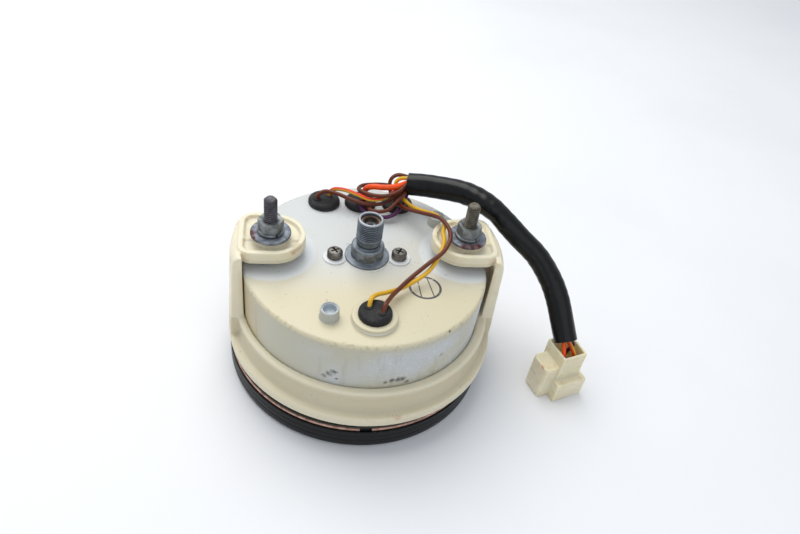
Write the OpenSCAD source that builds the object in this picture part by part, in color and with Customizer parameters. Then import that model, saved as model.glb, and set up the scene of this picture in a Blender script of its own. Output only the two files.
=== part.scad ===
// Motorcycle speedometer head, lying face down on its bezel.
// Millimetres, +Z up out of the back of the case. The origin is the centre of the bezel's
// front face, the studs stand on the X axis, and the dial's top edge points to -Y.

/* [Case and bezel] */
// Outer radius of the drawn steel case
case_r = 57; // [56:0.5:58]
// Height of the case's flat back above the bezel's front face
back_z = 60; // [58:1:62]
// Sheet thickness of the case
case_wall = 1; // [0.8:0.1:1.2]
// Outer radius of the bezel ring
bezel_r = 63.6; // [63:0.1:64]
// Height of the bezel ring
bezel_h = 11.4; // [11:0.2:12]
// Radius of the opening in the front of the bezel
bezel_open_r = 54.5; // [53:0.5:55]

/* [Mounting bracket] */
// Half the distance between the two mounting studs
stud_x = 45; // [43:0.5:46]
// Thread radius of the mounting studs
stud_r = 3; // [2.5:0.5:3]
// Height of the stud tips
stud_top_z = 91.5; // [88:0.5:95]
// Outer radius of the band's lower lip
band_r = 65; // [64.6:0.2:66]
// Half width of a bracket leg
leg_half_w = 14.5; // [13:0.5:16]
// Height of the rim round each ear
ear_top_z = 70.5; // [70:0.5:72]

/* [Cable connector] */
// Thread radius of the connector neck
neck_r = 6; // [5.5:0.5:6]
// Height of the neck's mouth
neck_top_z = 82.2; // [80:0.2:85]
// Radius of the drive shaft in its bush
shaft_r = 3; // [2.8:0.1:3]
// Running clearance of shafts in their bearings
run_gap = 0.05; // [0.03:0.01:0.08]

/* [Dial and odometer] */
// Radius of the dial plate
dial_r = 53.6; // [53:0.2:54]
// Teeth on the worm wheel that the drive worm turns
wheel_teeth = 35; // [35:2:35]
// Lead of the drive worm
drive_lead = 1.4; // [1.4:0.1:1.4]
// Teeth on the odometer's drive wheel
drum_wheel_teeth = 40; // [40:2:40]
// Lead of the odometer worm
drum_lead = 1.2; // [1.2:0.1:1.2]
// Number of number drums
drum_count = 5; // [5:1:5]
// Radius of a number drum
drum_r = 7.6; // [7.4:0.1:7.6]

/* [Harness] */
// Radius of the black sleeve
sleeve_r = 5.9; // [5:0.1:6.2]
// Radius of a thin wire
wire_r = 1; // [0.9:0.1:1]
// Radius of the thick orange wire
thick_wire_r = 1.5; // [1.3:0.1:1.5]

/* [Hidden] */
$fn = 64;
eps = 0.01;

// Stack behind the bezel, from the table upwards
lip_h = 1.6;
seal_top_z = 2.4;
lens_top_z = 4.9;
flange_z = 13.1;
flange_top_z = 13.8;
flange_r = 62.5;
rim_inner_r = 60;
dial_z = 15.6;
dial_top_z = 16.4;
bridge_z = 17.6;
bridge_top_z = 18.8;
plate_z = 50;
plate_top_z = 53;

// Openings in the case back
screw_x = 15;
screw_y = -1;
screw_seat_z = back_z + 0.8;
boss_top_z = 62.6;
lamp_hole_r = 6.4;
lower_lamp = [0, -40.6];
rear_lamps = [[-18.5, 42], [0, 42], [19, 42]];
posts = [[-19, -39.4], [37.5, 26.8]];
post_top_z = 65.2;

// Ears and studs
ear_x = 44;
ear_y = 2.7;
ear_r = 14.6;
ear_under_z = 64.4;
ear_wall = 2.4;
ear_floor_z = 66.8;
ear_floor_top_z = 68.8;
// The bracket is sprung round the case and sits a little to one side
bracket_dx = 1;
stud_boss_r = 6.5;
stud_boss_z = 72.4;
washer_t = 1.5;
lock_t = 1.6;
nut_h = 5;
nut_af = 10;
washer_top_z = stud_boss_z + washer_t;
lock_top_z = washer_top_z + lock_t;
nut_top_z = lock_top_z + nut_h;
// Core of the stud inside the nut and washers
stud_core_r = stud_r - 0.2;

// Worm drive: the drive worm stands on Z, the cross shaft lies along Y and the drums turn on X
drive_worm_r = 2.6;
wheel_r = wheel_teeth * drive_lead / (2 * PI);
cross_x = drive_worm_r + wheel_r;
drum_worm_r = 2.4;
drum_wheel_r = drum_wheel_teeth * drum_lead / (2 * PI);
drum_y = 20;
drum_z = dial_top_z + 0.8 + drum_r;
cross_z = drum_z + drum_worm_r + drum_wheel_r;
tooth_tip = 0.4;
tooth_root = 0.6;
cross_r = 1.4;
axle_r = 1.05;

// Number drums and the pinions that carry from one to the next
drum_pitch = 3.7;
drum_body_w = 2.9;
first_drum_x = 7.3;
carry_teeth = 20;
pinion_teeth = 8;
carry_r = 6.6;
pinion_r = carry_r * pinion_teeth / carry_teeth;
pinion_axle_r = 0.8;
pinion_w = 0.6;
pinion_y = drum_y + (carry_r + pinion_r) * cos(45);
pinion_z = drum_z + (carry_r + pinion_r) * sin(45);
left_plate_x = -10.4;
right_plate_x = 12;
plate_w = 1;

// Pointer stack
spindle_r = 0.75;
cup_r = 10;
cup_z = 19.6;
cup_top_z = 25.4;
magnet_r = 8.6;
shaft_end_z = 20.9;
magnet_top_z = 24.9;
pillar_x = 17;
pillar_y = -5;
pointer_rest = 135;

// Plug, standing on its mating face; its own axes are turned about Z
plug_at = [96.7, -40.4, 0];
plug_turn = 17;
plug_low_h = 12;
plug_h = 27;
terminal_u = [5, 11.5];
terminal_v = [8, 14.5];
terminal_top_z = 15;

// Routes of the free cords
sleeve_route = [[23.7, 42.5, 73], [36.6, 37.7, 75], [50.3, 30.4, 77], [60, 22.2, 76],
    [68.2, 14, 72], [75.6, 8, 67], [84.2, 1.6, 61], [91.2, -5.2, 52.5], [95.2, -12, 45],
    [97.4, -19, 38], [99.5, -26.2, 30.2]];
brown_left_route = [[-22, 41, 63.4], [-21.6, 41.2, 65.6], [-18, 41.6, 67.4], [-12, 39.2, 67.6],
    [-5, 35.6, 66.8], [2, 33.2, 66.4], [9, 32.8, 66.9], [14, 35, 68.2], [19, 38.6, 69.8],
    [23.8, 42, 71.1], [25.6, 41.4, 71.4]];
striped_left_route = [[-16, 44, 63.4], [-15.6, 44, 65.6], [-13, 43, 68],
    [-8, 40.4, 69.2], [-2.5, 37, 69.2], [3, 33.9, 68.9], [8, 33.1, 69.4], [13, 35.4, 70.3],
    [18.5, 40.2, 71.4], [24.7, 44.7, 72.1], [26.5, 44.1, 72.4]];
brown_centre_route = [[3, 39.5, 63.4], [3.1, 38.7, 65.2], [3, 35, 64.8], [4, 31, 64.4],
    [8.3, 28.6, 65.2], [12.5, 28.2, 66.9], [16, 31, 68.8], [20, 35.3, 70.3],
    [23, 39.9, 71.5], [24.8, 39.2, 71.8]];
orange_centre_route = [[1.5, 41.5, 63.4], [1.4, 41.6, 67], [2.2, 40.6, 70.6], [5, 38.6, 73.2],
    [10, 37, 74], [16.5, 37.8, 74.1], [23.5, 42.3, 73.7], [25.3, 41.6, 74]];
purple_centre_route = [[-1, 38.2, 63.4], [-1.2, 36.8, 64.6], [0.2, 33.6, 62.8],
    [4.5, 29.8, 61.9], [10.5, 27, 62.9], [15, 27.6, 64], [18.6, 31.4, 64.9],
    [21.8, 37, 65.9], [24.7, 43.7, 69.8], [26.5, 43, 70.1]];
brown_right_route = [[21, 44.5, 63.4], [20.6, 45.4, 66], [16, 48.2, 67.6], [10.5, 48.3, 68.2],
    [5.5, 47, 68.8], [0.6, 44.6, 69.6], [-1.7, 40.6, 70.1], [1.2, 36.4, 70.8],
    [6.3, 33.1, 71.6], [12, 32.6, 72.2], [18, 35.4, 73.3], [22.5, 39.9, 74.5],
    [24.3, 39.2, 74.8]];
brown_lower_route = [[26, 44.3, 75.8], [24.2, 44.9, 75.5], [18.8, 46.6, 75.6],
    [15.2, 45.6, 73.8], [14.4, 43.4, 70.2], [15.8, 39, 66.9], [18.1, 33, 66.9],
    [22.6, 25.4, 69.3], [29, 18.2, 72.4], [34.6, 10.8, 75.4], [37, 2, 76.2],
    [36.2, -6, 76], [32.2, -12.4, 74], [26, -15.6, 70.2], [17.6, -20.6, 65.6],
    [9, -30.6, 65.4], [6, -35.8, 66.8], [3.9, -40, 67.6], [2.7, -42.4, 65.2]];
yellow_lower_route = [[25.1, 42.1, 76.6], [23.3, 42.7, 76.3], [19.2, 43.6, 75.2],
    [17.2, 43, 72.6], [18.2, 40.9, 69], [20.6, 37, 67.9], [24.2, 30.4, 68],
    [28.6, 23.8, 70], [33.6, 16.6, 73.1], [36.4, 9.4, 73.9], [34.7, 2, 73.6],
    [34.2, -4, 73.4], [31, -12, 71.8], [25.4, -18, 66.8], [14.4, -24.4, 63.6],
    [6.4, -28.8, 64.4], [1.4, -32, 66], [-1.6, -36, 67.4], [-2.7, -38.8, 65.2]];
orange_lead_route = [[98, -28.2, 29.3], [98.4, -30.8, 26], [99.1, -31.3, 20],
    [99.1, -31.3, 15]];
striped_lead_route = [[101, -28.6, 29], [103.6, -30.8, 26], [105.2, -29.8, 20],
    [105.4, -29.4, 15]];
purple_lead_route = [[101.6, -26, 31], [104.6, -25.4, 27], [104.2, -23.8, 20],
    [103.5, -23.2, 15]];

// ---- Shared shapes ----

// A ring of revolution between two radii and two heights
module ring(r_out, r_in, z0, z1, at = [0, 0]) {
    translate([at[0], at[1], z0]) difference() {
        cylinder(r = r_out, h = z1 - z0);
        translate([0, 0, -eps]) cylinder(r = r_in, h = z1 - z0 + 2 * eps);
    }
}

module disc(r, z0, z1, at = [0, 0]) {
    translate([at[0], at[1], z0]) cylinder(r = r, h = z1 - z0);
}

// A box from its lowest to its highest corner
module box(low, high) {
    translate(low) cube(high - low);
}

// An upright block whose vertical edges are rounded
module rounded_block(low, high, r) {
    box([low[0] + r, low[1], low[2]], [high[0] - r, high[1], high[2]]);
    box([low[0], low[1] + r, low[2]], [high[0], high[1] - r, high[2]]);
    for (x = [low[0] + r, high[0] - r], y = [low[1] + r, high[1] - r])
        disc(r, low[2], high[2], [x, y]);
}

// Outline of a gear with straight-sided teeth, one tooth centred on angle 0
function gear_outline(teeth, r_pitch, tip, root, tip_w, root_w) = [
    for (i = [0 : teeth - 1])
        for (corner = [[r_pitch - root, -root_w], [r_pitch + tip, -tip_w],
                       [r_pitch + tip, tip_w], [r_pitch - root, root_w]])
            let (a = 360 * i / teeth + atan2(corner[1] / 2, corner[0]))
                corner[0] * [cos(a), sin(a)]
];

// Cross-section of a single-start worm: one rise from root to crest and back in a turn
function worm_outline(r_pitch, lead, crest_w, foot_w) =
    let (root = r_pitch - tooth_root, crest = r_pitch + tooth_tip,
         a_crest = 180 * crest_w / lead, a_foot = 180 * foot_w / lead)
    concat(
        [for (a = [-a_crest, 0, a_crest]) crest * [cos(a), sin(a)]],
        [for (i = [0 : 8]) let (a = a_foot + i * (360 - 2 * a_foot) / 8)
            root * [cos(a), sin(a)]]
    );

// A worm along Z whose crest points to +X at height 0
module worm(r_pitch, lead, turns_each_way, bore_r) {
    length = 2 * turns_each_way * lead;
    translate([0, 0, -length / 2]) difference() {
        linear_extrude(height = length, twist = -360 * length / lead,
                       slices = 20 * length / lead, $fn = 12)
            polygon(worm_outline(r_pitch, lead, 0.34, 0.86));
        translate([0, 0, -1]) cylinder(r = bore_r, h = length + 2, $fn = 24);
    }
}

function unit(v) = v / norm(v);
function tangent(route, i) =
    unit(route[min(i + 1, len(route) - 1)] - route[max(i - 1, 0)]);
function side_of(route, i) =
    let (t = tangent(route, i),
         before = i == 0 ? cross(t, abs(t[2]) > 0.9 ? [1, 0, 0] : [0, 0, 1])
                         : side_of(route, i - 1))
    unit(before - (before * t) * t);

// A round cord swept along its route, with flat ends
module cord(route, r, sides = 8) {
    n = len(route);
    points = [for (i = [0 : n - 1])
        let (t = tangent(route, i), u = side_of(route, i), w = cross(t, u))
            for (k = [0 : sides - 1])
                route[i] + r * (cos(360 * k / sides) * u + sin(360 * k / sides) * w)];
    start_cap = [for (k = [1 : sides - 2]) [0, k, k + 1]];
    end_cap = [for (k = [1 : sides - 2]) (n - 1) * sides * [1, 1, 1] + [0, k + 1, k]];
    walls = [for (i = [0 : n - 2], k = [0 : sides - 1])
        let (a = i * sides + k, b = i * sides + (k + 1) % sides)
            each [[a, a + sides, b + sides], [a, b + sides, b]]];
    polyhedron(points, concat(start_cap, end_cap, walls));
}

// ---- Case ----

module rear_case() {
    color("ivory") difference() {
        union() {
            rotate_extrude($fn = 128) polygon([
                [0, back_z - 1.2], [case_r - case_wall, back_z - 1.2],
                [case_r - case_wall, flange_z], [flange_r, flange_z],
                [flange_r, flange_top_z], [case_r, flange_top_z], [case_r, back_z - 2.4],
                [case_r - 0.7, back_z - 0.7], [case_r - 2.4, back_z], [0, back_z]]);
            difference() {
                for (x = [-screw_x, screw_x])
                    disc(5.5, back_z - eps, screw_seat_z, [x, screw_y]);
                disc(11, back_z - 1, screw_seat_z + 1);
            }
            disc(10, back_z - eps, boss_top_z, lower_lamp);
            for (p = posts) disc(4.1, back_z - eps, post_top_z, p);
        }
        disc(neck_r + 0.1, back_z - 5, back_z + 1);
        for (x = [-screw_x, screw_x]) disc(2.2, back_z - 5, back_z + 5, [x, screw_y]);
        disc(lamp_hole_r, back_z - 5, boss_top_z + 1, lower_lamp);
        for (p = rear_lamps) disc(lamp_hole_r, back_z - 5, back_z + 1, p);
        for (p = posts) disc(3.25, back_z + 1, post_top_z + 1, p);
    }
}

module bezel_ring() {
    color([0.08, 0.08, 0.08]) {
        rotate_extrude($fn = 128) polygon([
            [bezel_open_r, 0.6], [bezel_open_r + 0.6, 0], [bezel_r - 2.6, 0],
            [bezel_r - 0.8, 0.8], [bezel_r, 2.6], [bezel_r, bezel_h],
            [rim_inner_r, bezel_h], [rim_inner_r, lip_h], [bezel_open_r, lip_h]]);
        rotate([0, 0, -91]) box([rim_inner_r + 0.5, -2.2, bezel_h - eps],
                                [flange_r, 2.2, flange_z]);
    }
}

module bezel_clamp_ring() {
    color([0.72, 0.45, 0.36]) difference() {
        ring(63, rim_inner_r, bezel_h, flange_z);
        rotate([0, 0, -91]) box([50, -2.6, 0], [70, 2.6, 20]);
    }
}

module lens() {
    color([0.85, 0.9, 0.92, 0.4]) disc(rim_inner_r - 0.4, seal_top_z, lens_top_z);
}

module lens_seal() {
    color([0.1, 0.1, 0.1]) ring(rim_inner_r - 0.2, bezel_open_r + 0.6, lip_h, seal_top_z);
}

module shroud_ring() {
    color([0.15, 0.15, 0.16]) rotate_extrude($fn = 128) polygon([
        [rim_inner_r - 0.3, lens_top_z], [rim_inner_r - 0.3, flange_z], [58.5, flange_z],
        [58.5, 9.6], [51.6, 15.4], [50.6, 15.4], [50.6, 14.6], [56.6, lens_top_z]]);
}

// ---- Mounting bracket ----

// Section of the band: a top lip that touches the case, a concave flare and a rounded lower lip
band_section = [[56, 31], [56, 34.3], [57.6, 35], [60.2, 35], [61.2, 34.2], [61.3, 32.4],
    [60.6, 31], [60.4, 28], [60.6, 25.6], [61.2, 23.8], [62.2, 22.9], [64.5, 22.7],
    [band_r, 21.9], [band_r, 18.2], [64.6, 17.6], [63, 17.6], [62.4, 20.2], [61, 21.6],
    [59.4, 23], [58.8, 26], [58.7, 29]];

// Section of a leg, from the drum out to its slightly tapered outer face
leg_section = [[58.5, 21.4], [64.3, 20.6], [64.9, 22], [64.6, 32], [64, 44], [63.4, 56],
    [63, 64], [62.2, 68], [60.6, 69.4], [58.5, 69.6]];

module leg_sector(section, half_w) {
    intersection() {
        rotate_extrude($fn = 128) polygon(section);
        box([0, -half_w, 0], [80, half_w, 80]);
    }
}

module leg() {
    inner = [[50, 36], [61.8, 36], [61.6, 44], [61, 56], [60.6, 63], [50, 63]];
    difference() {
        leg_sector(leg_section, leg_half_w);
        leg_sector(inner, leg_half_w - 2.5);
    }
}

// The ear in plan, shrunk by inset, between two heights
module ear_block(inset, z0, z1) {
    disc(ear_r - inset, z0, z1, [ear_x, ear_y]);
    rounded_block([ear_x - 3 + inset, ear_y - ear_r + inset, z0],
                  [ear_x + ear_r + 0.6 - inset, ear_y + ear_r + 0.9 - inset, z1], 6.5 - inset);
}

module ear() {
    difference() {
        union() {
            difference() {
                ear_block(0, ear_under_z, ear_top_z);
                ear_block(ear_wall, ear_floor_top_z, ear_top_z + 1);
                ear_block(ear_wall, ear_under_z - 1, ear_floor_z);
            }
            disc(stud_boss_r, ear_under_z, stud_boss_z, [stud_x, 0]);
            intersection() {
                ear_block(1, ear_floor_z, ear_top_z);
                translate([stud_x, 0, 0]) for (a = [0 : 90 : 270]) rotate([0, 0, a])
                    box([stud_boss_r - 1, -0.9, ear_floor_z], [20, 0.9, ear_top_z - 0.8]);
            }
        }
        disc(stud_r + 0.05, 50, 80, [stud_x, 0]);
    }
}

module mounting_bracket() {
    color([0.92, 0.88, 0.76]) difference() {
        translate([bracket_dx, 0, 0]) {
            rotate_extrude($fn = 128) polygon(band_section);
            for (side = [0, 1]) mirror([side, 0, 0]) {
                leg();
                ear();
            }
        }
        disc(case_r + 0.1, 28, 36);
    }
}

module bracket_cushion() {
    color([0.07, 0.07, 0.07]) rotate_extrude($fn = 128) polygon([
        [57.15, flange_top_z], [61.4, flange_top_z], [61.8, 17.2], [61.2, 19.6],
        [60.4, 20.3], [57.15, 20.3]]);
}

module mounting_studs() {
    color([0.3, 0.3, 0.3]) for (x = [bracket_dx - stud_x, bracket_dx + stud_x]) {
        disc(stud_core_r, ear_under_z, nut_top_z + 0.2, [x, 0]);
        disc(stud_r, nut_top_z + 0.1, stud_top_z - 0.8, [x, 0]);
        translate([x, 0, stud_top_z - 0.8]) cylinder(r1 = stud_r, r2 = stud_r - 0.8, h = 0.8);
        disc(5.2, ear_under_z - 1.8, ear_under_z, [x, 0]);
    }
}

module stud_flat_washers() {
    color("gray") for (x = [bracket_dx - stud_x, bracket_dx + stud_x])
        ring(9, stud_r + 0.2, stud_boss_z, washer_top_z, [x, 0]);
}

module stud_lock_washers() {
    color("dimgray") for (x = [bracket_dx - stud_x, bracket_dx + stud_x]) difference() {
        ring(6, stud_r + 0.1, washer_top_z, lock_top_z, [x, 0]);
        translate([x, 0, 0]) rotate([0, 0, -62]) box([0, -0.3, 70], [10, 0.3, 90]);
    }
}

module stud_nuts() {
    color("silver") for (x = [bracket_dx - stud_x, bracket_dx + stud_x]) difference() {
        translate([x, 0, lock_top_z]) cylinder(r = nut_af / 2 / cos(30), h = nut_h, $fn = 6);
        disc(stud_r + 0.05, 70, 90, [x, 0]);
    }
}

// ---- Cable connector and drive shaft ----

module cable_connector() {
    color([0.42, 0.45, 0.5]) difference() {
        union() {
            disc(neck_r, plate_top_z, 68.2);
            disc(10.4, back_z + 0.4, 61.6);
            disc(7.6, 61.6, 67.2);
            translate([0, 0, 67.2]) cylinder(r1 = 7.6, r2 = 7, h = 0.6);
            disc(5.4, 67.8, 69.4);
            disc(neck_r, 69.4, neck_top_z);
        }
        disc(4.4, 50, 90);
    }
}

module connector_gasket() {
    color("white") ring(10.9, neck_r + 0.1, back_z, back_z + 0.4);
}

module connector_bush() {
    color([0.75, 0.55, 0.35]) ring(4.38, shaft_r + run_gap, 62, 80.6);
}

module input_shaft() {
    color("silver") difference() {
        union() {
            disc(1.4, shaft_end_z, 40);
            disc(2.2, 40, 60);
            disc(4, 60, 61.8);
            disc(shaft_r, 61.8, 78.4);
        }
        box([-1.35, -1.35, 69], [1.35, 1.35, 90]);
        disc(spindle_r + run_gap, 20, 22.6);
    }
}

module drive_worm() {
    color("goldenrod") translate([0, 0, cross_z]) worm(drive_worm_r, drive_lead, 2, 1.5);
}

module magnet() {
    color([0.25, 0.25, 0.28]) ring(magnet_r, 1.42, shaft_end_z, magnet_top_z);
}

// ---- Pointer ----

module drag_cup() {
    color("gainsboro") {
        ring(cup_r, cup_r - 0.5, cup_z + 0.5 - eps, cup_top_z);
        ring(cup_r, spindle_r + 0.01, cup_z, cup_z + 0.5);
        ring(1.6, spindle_r + 0.01, cup_z + 0.5 - eps, cup_z + 1);
    }
}

module pointer_spindle() {
    color("lightgray") disc(spindle_r, 10.4, 22.2);
}

module pointer() {
    color([0.85, 0.2, 0.1]) {
        difference() {
            union() {
                disc(6.5, 10, 12.4);
                disc(1.8, 12.4, 14.4);
                rotate([0, 0, pointer_rest]) translate([0, 0, 10.6]) linear_extrude(height = 1)
                    polygon([[-14, -1.6], [-5, -1.4], [0, -1.5], [44, -0.5], [45.5, 0],
                             [44, 0.5], [0, 1.5], [-5, 1.4], [-14, 1.6]]);
            }
            disc(spindle_r + 0.01, 10.4, 20);
        }
    }
}

// Flat spiral: its inner end grips the spindle, its outer end reaches the anchor pin
module hairspring() {
    turns = 4;
    steps = 18 * turns;
    function arm(i, side) = let (a = 360 * turns * i / steps, r = 1.4 + 5 * i / steps + side)
        r * [cos(a), sin(a)];
    color("steelblue") {
        ring(1.6, spindle_r + 0.01, 16.7, 17.3);
        translate([0, 0, 16.8]) linear_extrude(height = 0.4)
            polygon(concat([for (i = [0 : steps]) arm(i, 0.12)],
                           [for (i = [steps : -1 : 0]) arm(i, -0.12)]));
    }
}

// ---- Movement ----

module bearing_lug(y0, y1) {
    box([cross_x - 2.4, y0, cross_z - 2.6], [cross_x + 2, y1, plate_z + 1]);
}

module movement_frame() {
    color([0.65, 0.66, 0.68]) difference() {
        union() {
            disc(20, plate_z, plate_top_z);
            box([left_plate_x, 0, plate_z], [right_plate_x + plate_w, 31, plate_top_z]);
            for (x = [-screw_x, screw_x])
                disc(4, plate_top_z - eps, back_z - 1.2, [x, screw_y]);
            for (x = [-pillar_x, pillar_x])
                disc(2.2, dial_top_z, plate_z + 1, [x, pillar_y]);
            box([-pillar_x, pillar_y - 3, bridge_z], [pillar_x, 10.6, bridge_top_z]);
            box([left_plate_x, 9.4, bridge_z], [left_plate_x + plate_w, 31, plate_z + 1]);
            box([right_plate_x, 9.4, bridge_z], [right_plate_x + plate_w, 31, 31.2]);
            box([right_plate_x, 25.4, bridge_z], [right_plate_x + plate_w, 31, plate_z + 1]);
            bearing_lug(-5.6, -3.6);
            bearing_lug(28.8, 31);
            disc(0.5, dial_top_z + 0.2, bridge_z + 0.1, [7.6, 0]);
        }
        disc(2.2 + run_gap, 40, 60);
        disc(spindle_r + run_gap, 10, 19);
        for (x = [-screw_x, screw_x]) disc(2, plate_top_z, 60, [x, screw_y]);
        for (x = [-pillar_x, pillar_x]) disc(1.02, 10, 21, [x, pillar_y]);
        translate([cross_x, -10, cross_z]) rotate([-90, 0, 0])
            cylinder(r = cross_r + run_gap, h = 50);
        translate([-20, drum_y, drum_z]) rotate([0, 90, 0]) cylinder(r = axle_r, h = 50);
        translate([-20, pinion_y, pinion_z]) rotate([0, 90, 0])
            cylinder(r = pinion_axle_r, h = 50);
    }
}

module movement_screws() {
    color([0.4, 0.4, 0.38]) for (x = [-screw_x, screw_x]) difference() {
        union() {
            disc(3.6, screw_seat_z, screw_seat_z + 3, [x, screw_y]);
            translate([x, screw_y, screw_seat_z + 3]) cylinder(r1 = 3.6, r2 = 2.8, h = 0.8);
            disc(1.95, plate_top_z + 1, screw_seat_z, [x, screw_y]);
        }
        translate([x, screw_y, screw_seat_z + 2.2]) for (a = [20, 110]) rotate([0, 0, a])
            box([-2.1, -0.4, 0], [2.1, 0.4, 3]);
    }
}

module cross_shaft() {
    color("silver") translate([cross_x, -6.2, cross_z]) rotate([-90, 0, 0])
        cylinder(r = cross_r, h = 37.8);
}

module worm_wheel() {
    color("wheat") translate([cross_x, 0.7, cross_z]) rotate([90, 0, 0]) difference() {
        union() {
            linear_extrude(height = 1.4)
                polygon(gear_outline(wheel_teeth, wheel_r, tooth_tip, tooth_root, 0.3, 0.72));
            translate([0, 0, -1.6]) cylinder(r = 3, h = 2);
        }
        translate([0, 0, -3]) cylinder(r = cross_r + 0.02, h = 6);
    }
}

module odometer_worm() {
    color("goldenrod") translate([cross_x, drum_y, cross_z]) rotate([-90, 0, 0])
        rotate([0, 0, 90]) worm(drum_worm_r, drum_lead, 2, 1.5);
}

// Things that turn on the drums' axle: local X, Y lie in the row's Y, Z plane, local Z on X
module on_drum_axle(x) {
    translate([x, drum_y, drum_z]) rotate([90, 0, 90]) children();
}

module odometer_drive_wheel() {
    color("wheat") on_drum_axle(9.8) difference() {
        union() {
            rotate([0, 0, 180 / drum_wheel_teeth]) linear_extrude(height = 1.2)
                polygon(gear_outline(drum_wheel_teeth, drum_wheel_r, tooth_tip, tooth_root,
                                     0.24, 0.6));
            translate([0, 0, -1.05]) cylinder(r = 3, h = 1.1);
        }
        translate([0, 0, -2]) cylinder(r = axle_r + run_gap, h = 5);
    }
}

module odometer_axle() {
    color("silver") on_drum_axle(left_plate_x) cylinder(r = axle_r,
        h = right_plate_x + plate_w - left_plate_x);
}

// Drum 1 counts tenths. Each later drum has a side gear, each but the last two carry teeth
module odometer_drum(n) {
    on_drum_axle(first_drum_x - (n - 1) * drum_pitch) difference() {
        union() {
            translate([0, 0, -drum_body_w / 2]) cylinder(r = drum_r, h = drum_body_w);
            if (n > 1) translate([0, 0, drum_body_w / 2 - eps]) linear_extrude(height = 0.5)
                polygon(gear_outline(carry_teeth, carry_r, 0.45, 0.65, 0.5, 1.2));
            if (n < drum_count) translate([0, 0, -drum_body_w / 2 - 0.25])
                for (a = [-96, -84]) rotate([0, 0, a]) box([5.6, -0.35, 0], [6.9, 0.35, 0.3]);
        }
        translate([0, 0, -3]) cylinder(r = axle_r + run_gap, h = 6);
    }
}

module odometer_drum_1() { color("white") odometer_drum(1); }
module odometer_drum_2() { color([0.1, 0.1, 0.1]) odometer_drum(2); }
module odometer_drum_3() { color([0.1, 0.1, 0.1]) odometer_drum(3); }
module odometer_drum_4() { color([0.1, 0.1, 0.1]) odometer_drum(4); }
module odometer_drum_5() { color([0.1, 0.1, 0.1]) odometer_drum(5); }

module carry_pinion_axle() {
    color("silver") translate([left_plate_x, pinion_y, pinion_z]) rotate([0, 90, 0])
        cylinder(r = pinion_axle_r, h = right_plate_x + plate_w - left_plate_x);
}

// Pinion n turns drum n + 1 on when drum n passes nine
module carry_pinion(n) {
    x = first_drum_x - n * drum_pitch + drum_body_w / 2 + 0.1;
    color("wheat") translate([x, pinion_y, pinion_z]) rotate([90, 0, 90]) difference() {
        linear_extrude(height = pinion_w)
            polygon(gear_outline(pinion_teeth, pinion_r, 0.45, 0.6, 0.5, 0.9));
        translate([0, 0, -1]) cylinder(r = pinion_axle_r + run_gap, h = 3);
    }
}

module carry_pinion_1() { carry_pinion(1); }
module carry_pinion_2() { carry_pinion(2); }
module carry_pinion_3() { carry_pinion(3); }
module carry_pinion_4() { carry_pinion(4); }

// ---- Dial ----

module dial_plate() {
    color([0.06, 0.06, 0.06]) difference() {
        disc(dial_r, dial_z, dial_top_z);
        disc(2, 10, 20);
        for (x = [-pillar_x, pillar_x]) disc(1.3, 10, 20, [x, pillar_y]);
        for (p = rear_lamps) disc(3.6, 10, 20, p);
        box([-9.3, drum_y - 2.9, 10], [9.3, drum_y + 2.9, 20]);
    }
}

module dial_screws() {
    color([0.2, 0.2, 0.2]) for (x = [-pillar_x, pillar_x]) difference() {
        union() {
            disc(2.2, dial_z - 1.2, dial_z, [x, pillar_y]);
            disc(1, dial_z, 20.5, [x, pillar_y]);
        }
        translate([x, pillar_y, 0]) box([-3, -0.25, 10], [3, 0.25, dial_z - 0.7]);
    }
}

module indicator_jewels() {
    color([0.3, 0.7, 0.3]) for (p = rear_lamps) disc(3.55, dial_z - 0.6, dial_top_z + 0.6, p);
}

// ---- Lamps ----

// Rubber cap: a soft head outside the case and a skirt that grips the bulb socket
module bulb_cap(at, seat_z, head_r, head_h) {
    color([0.1, 0.1, 0.1]) translate([at[0], at[1], seat_z]) rotate_extrude() polygon([
        [0, 1], [5.65, 1], [5.65, -4], [lamp_hole_r - 0.1, -4], [lamp_hole_r - 0.1, 0],
        [head_r, 0], [head_r, head_h * 0.55], [head_r - 0.9, head_h * 0.85],
        [head_r - 2.4, head_h], [0, head_h]]);
}

module bulb_cap_left() { bulb_cap(rear_lamps[0], back_z, 8, 3.4); }
module bulb_cap_centre() { bulb_cap(rear_lamps[1], back_z, 8, 3.4); }
module bulb_cap_right() { bulb_cap(rear_lamps[2], back_z, 8, 3.4); }
module bulb_cap_lower() { bulb_cap(lower_lamp, boss_top_z, 7.25, 3.2); }

module bulb_socket(at, seat_z) {
    difference() {
        disc(5.6, seat_z - 13, seat_z + 1, at);
        disc(5.1, seat_z - 14, seat_z, at);
    }
}

module bulb_sockets() {
    color("silver") {
        for (p = rear_lamps) bulb_socket(p, back_z);
        bulb_socket(lower_lamp, boss_top_z);
    }
}

module bulb(at, seat_z) {
    translate([at[0], at[1], seat_z]) rotate_extrude() polygon(concat(
        [[0, 0], [3, 0], [3, -2], [4.6, -2], [4.6, -12], [3.6, -13.6]],
        [for (a = [40 : -26 : -90]) [4.2 * cos(a), -17 + 4.2 * sin(a)]], [[0, -21.2]]));
}

module bulbs() {
    color([0.9, 0.9, 0.8, 0.6]) {
        for (p = rear_lamps) bulb(p, back_z);
        bulb(lower_lamp, boss_top_z);
    }
}

// ---- Harness ----

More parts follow.
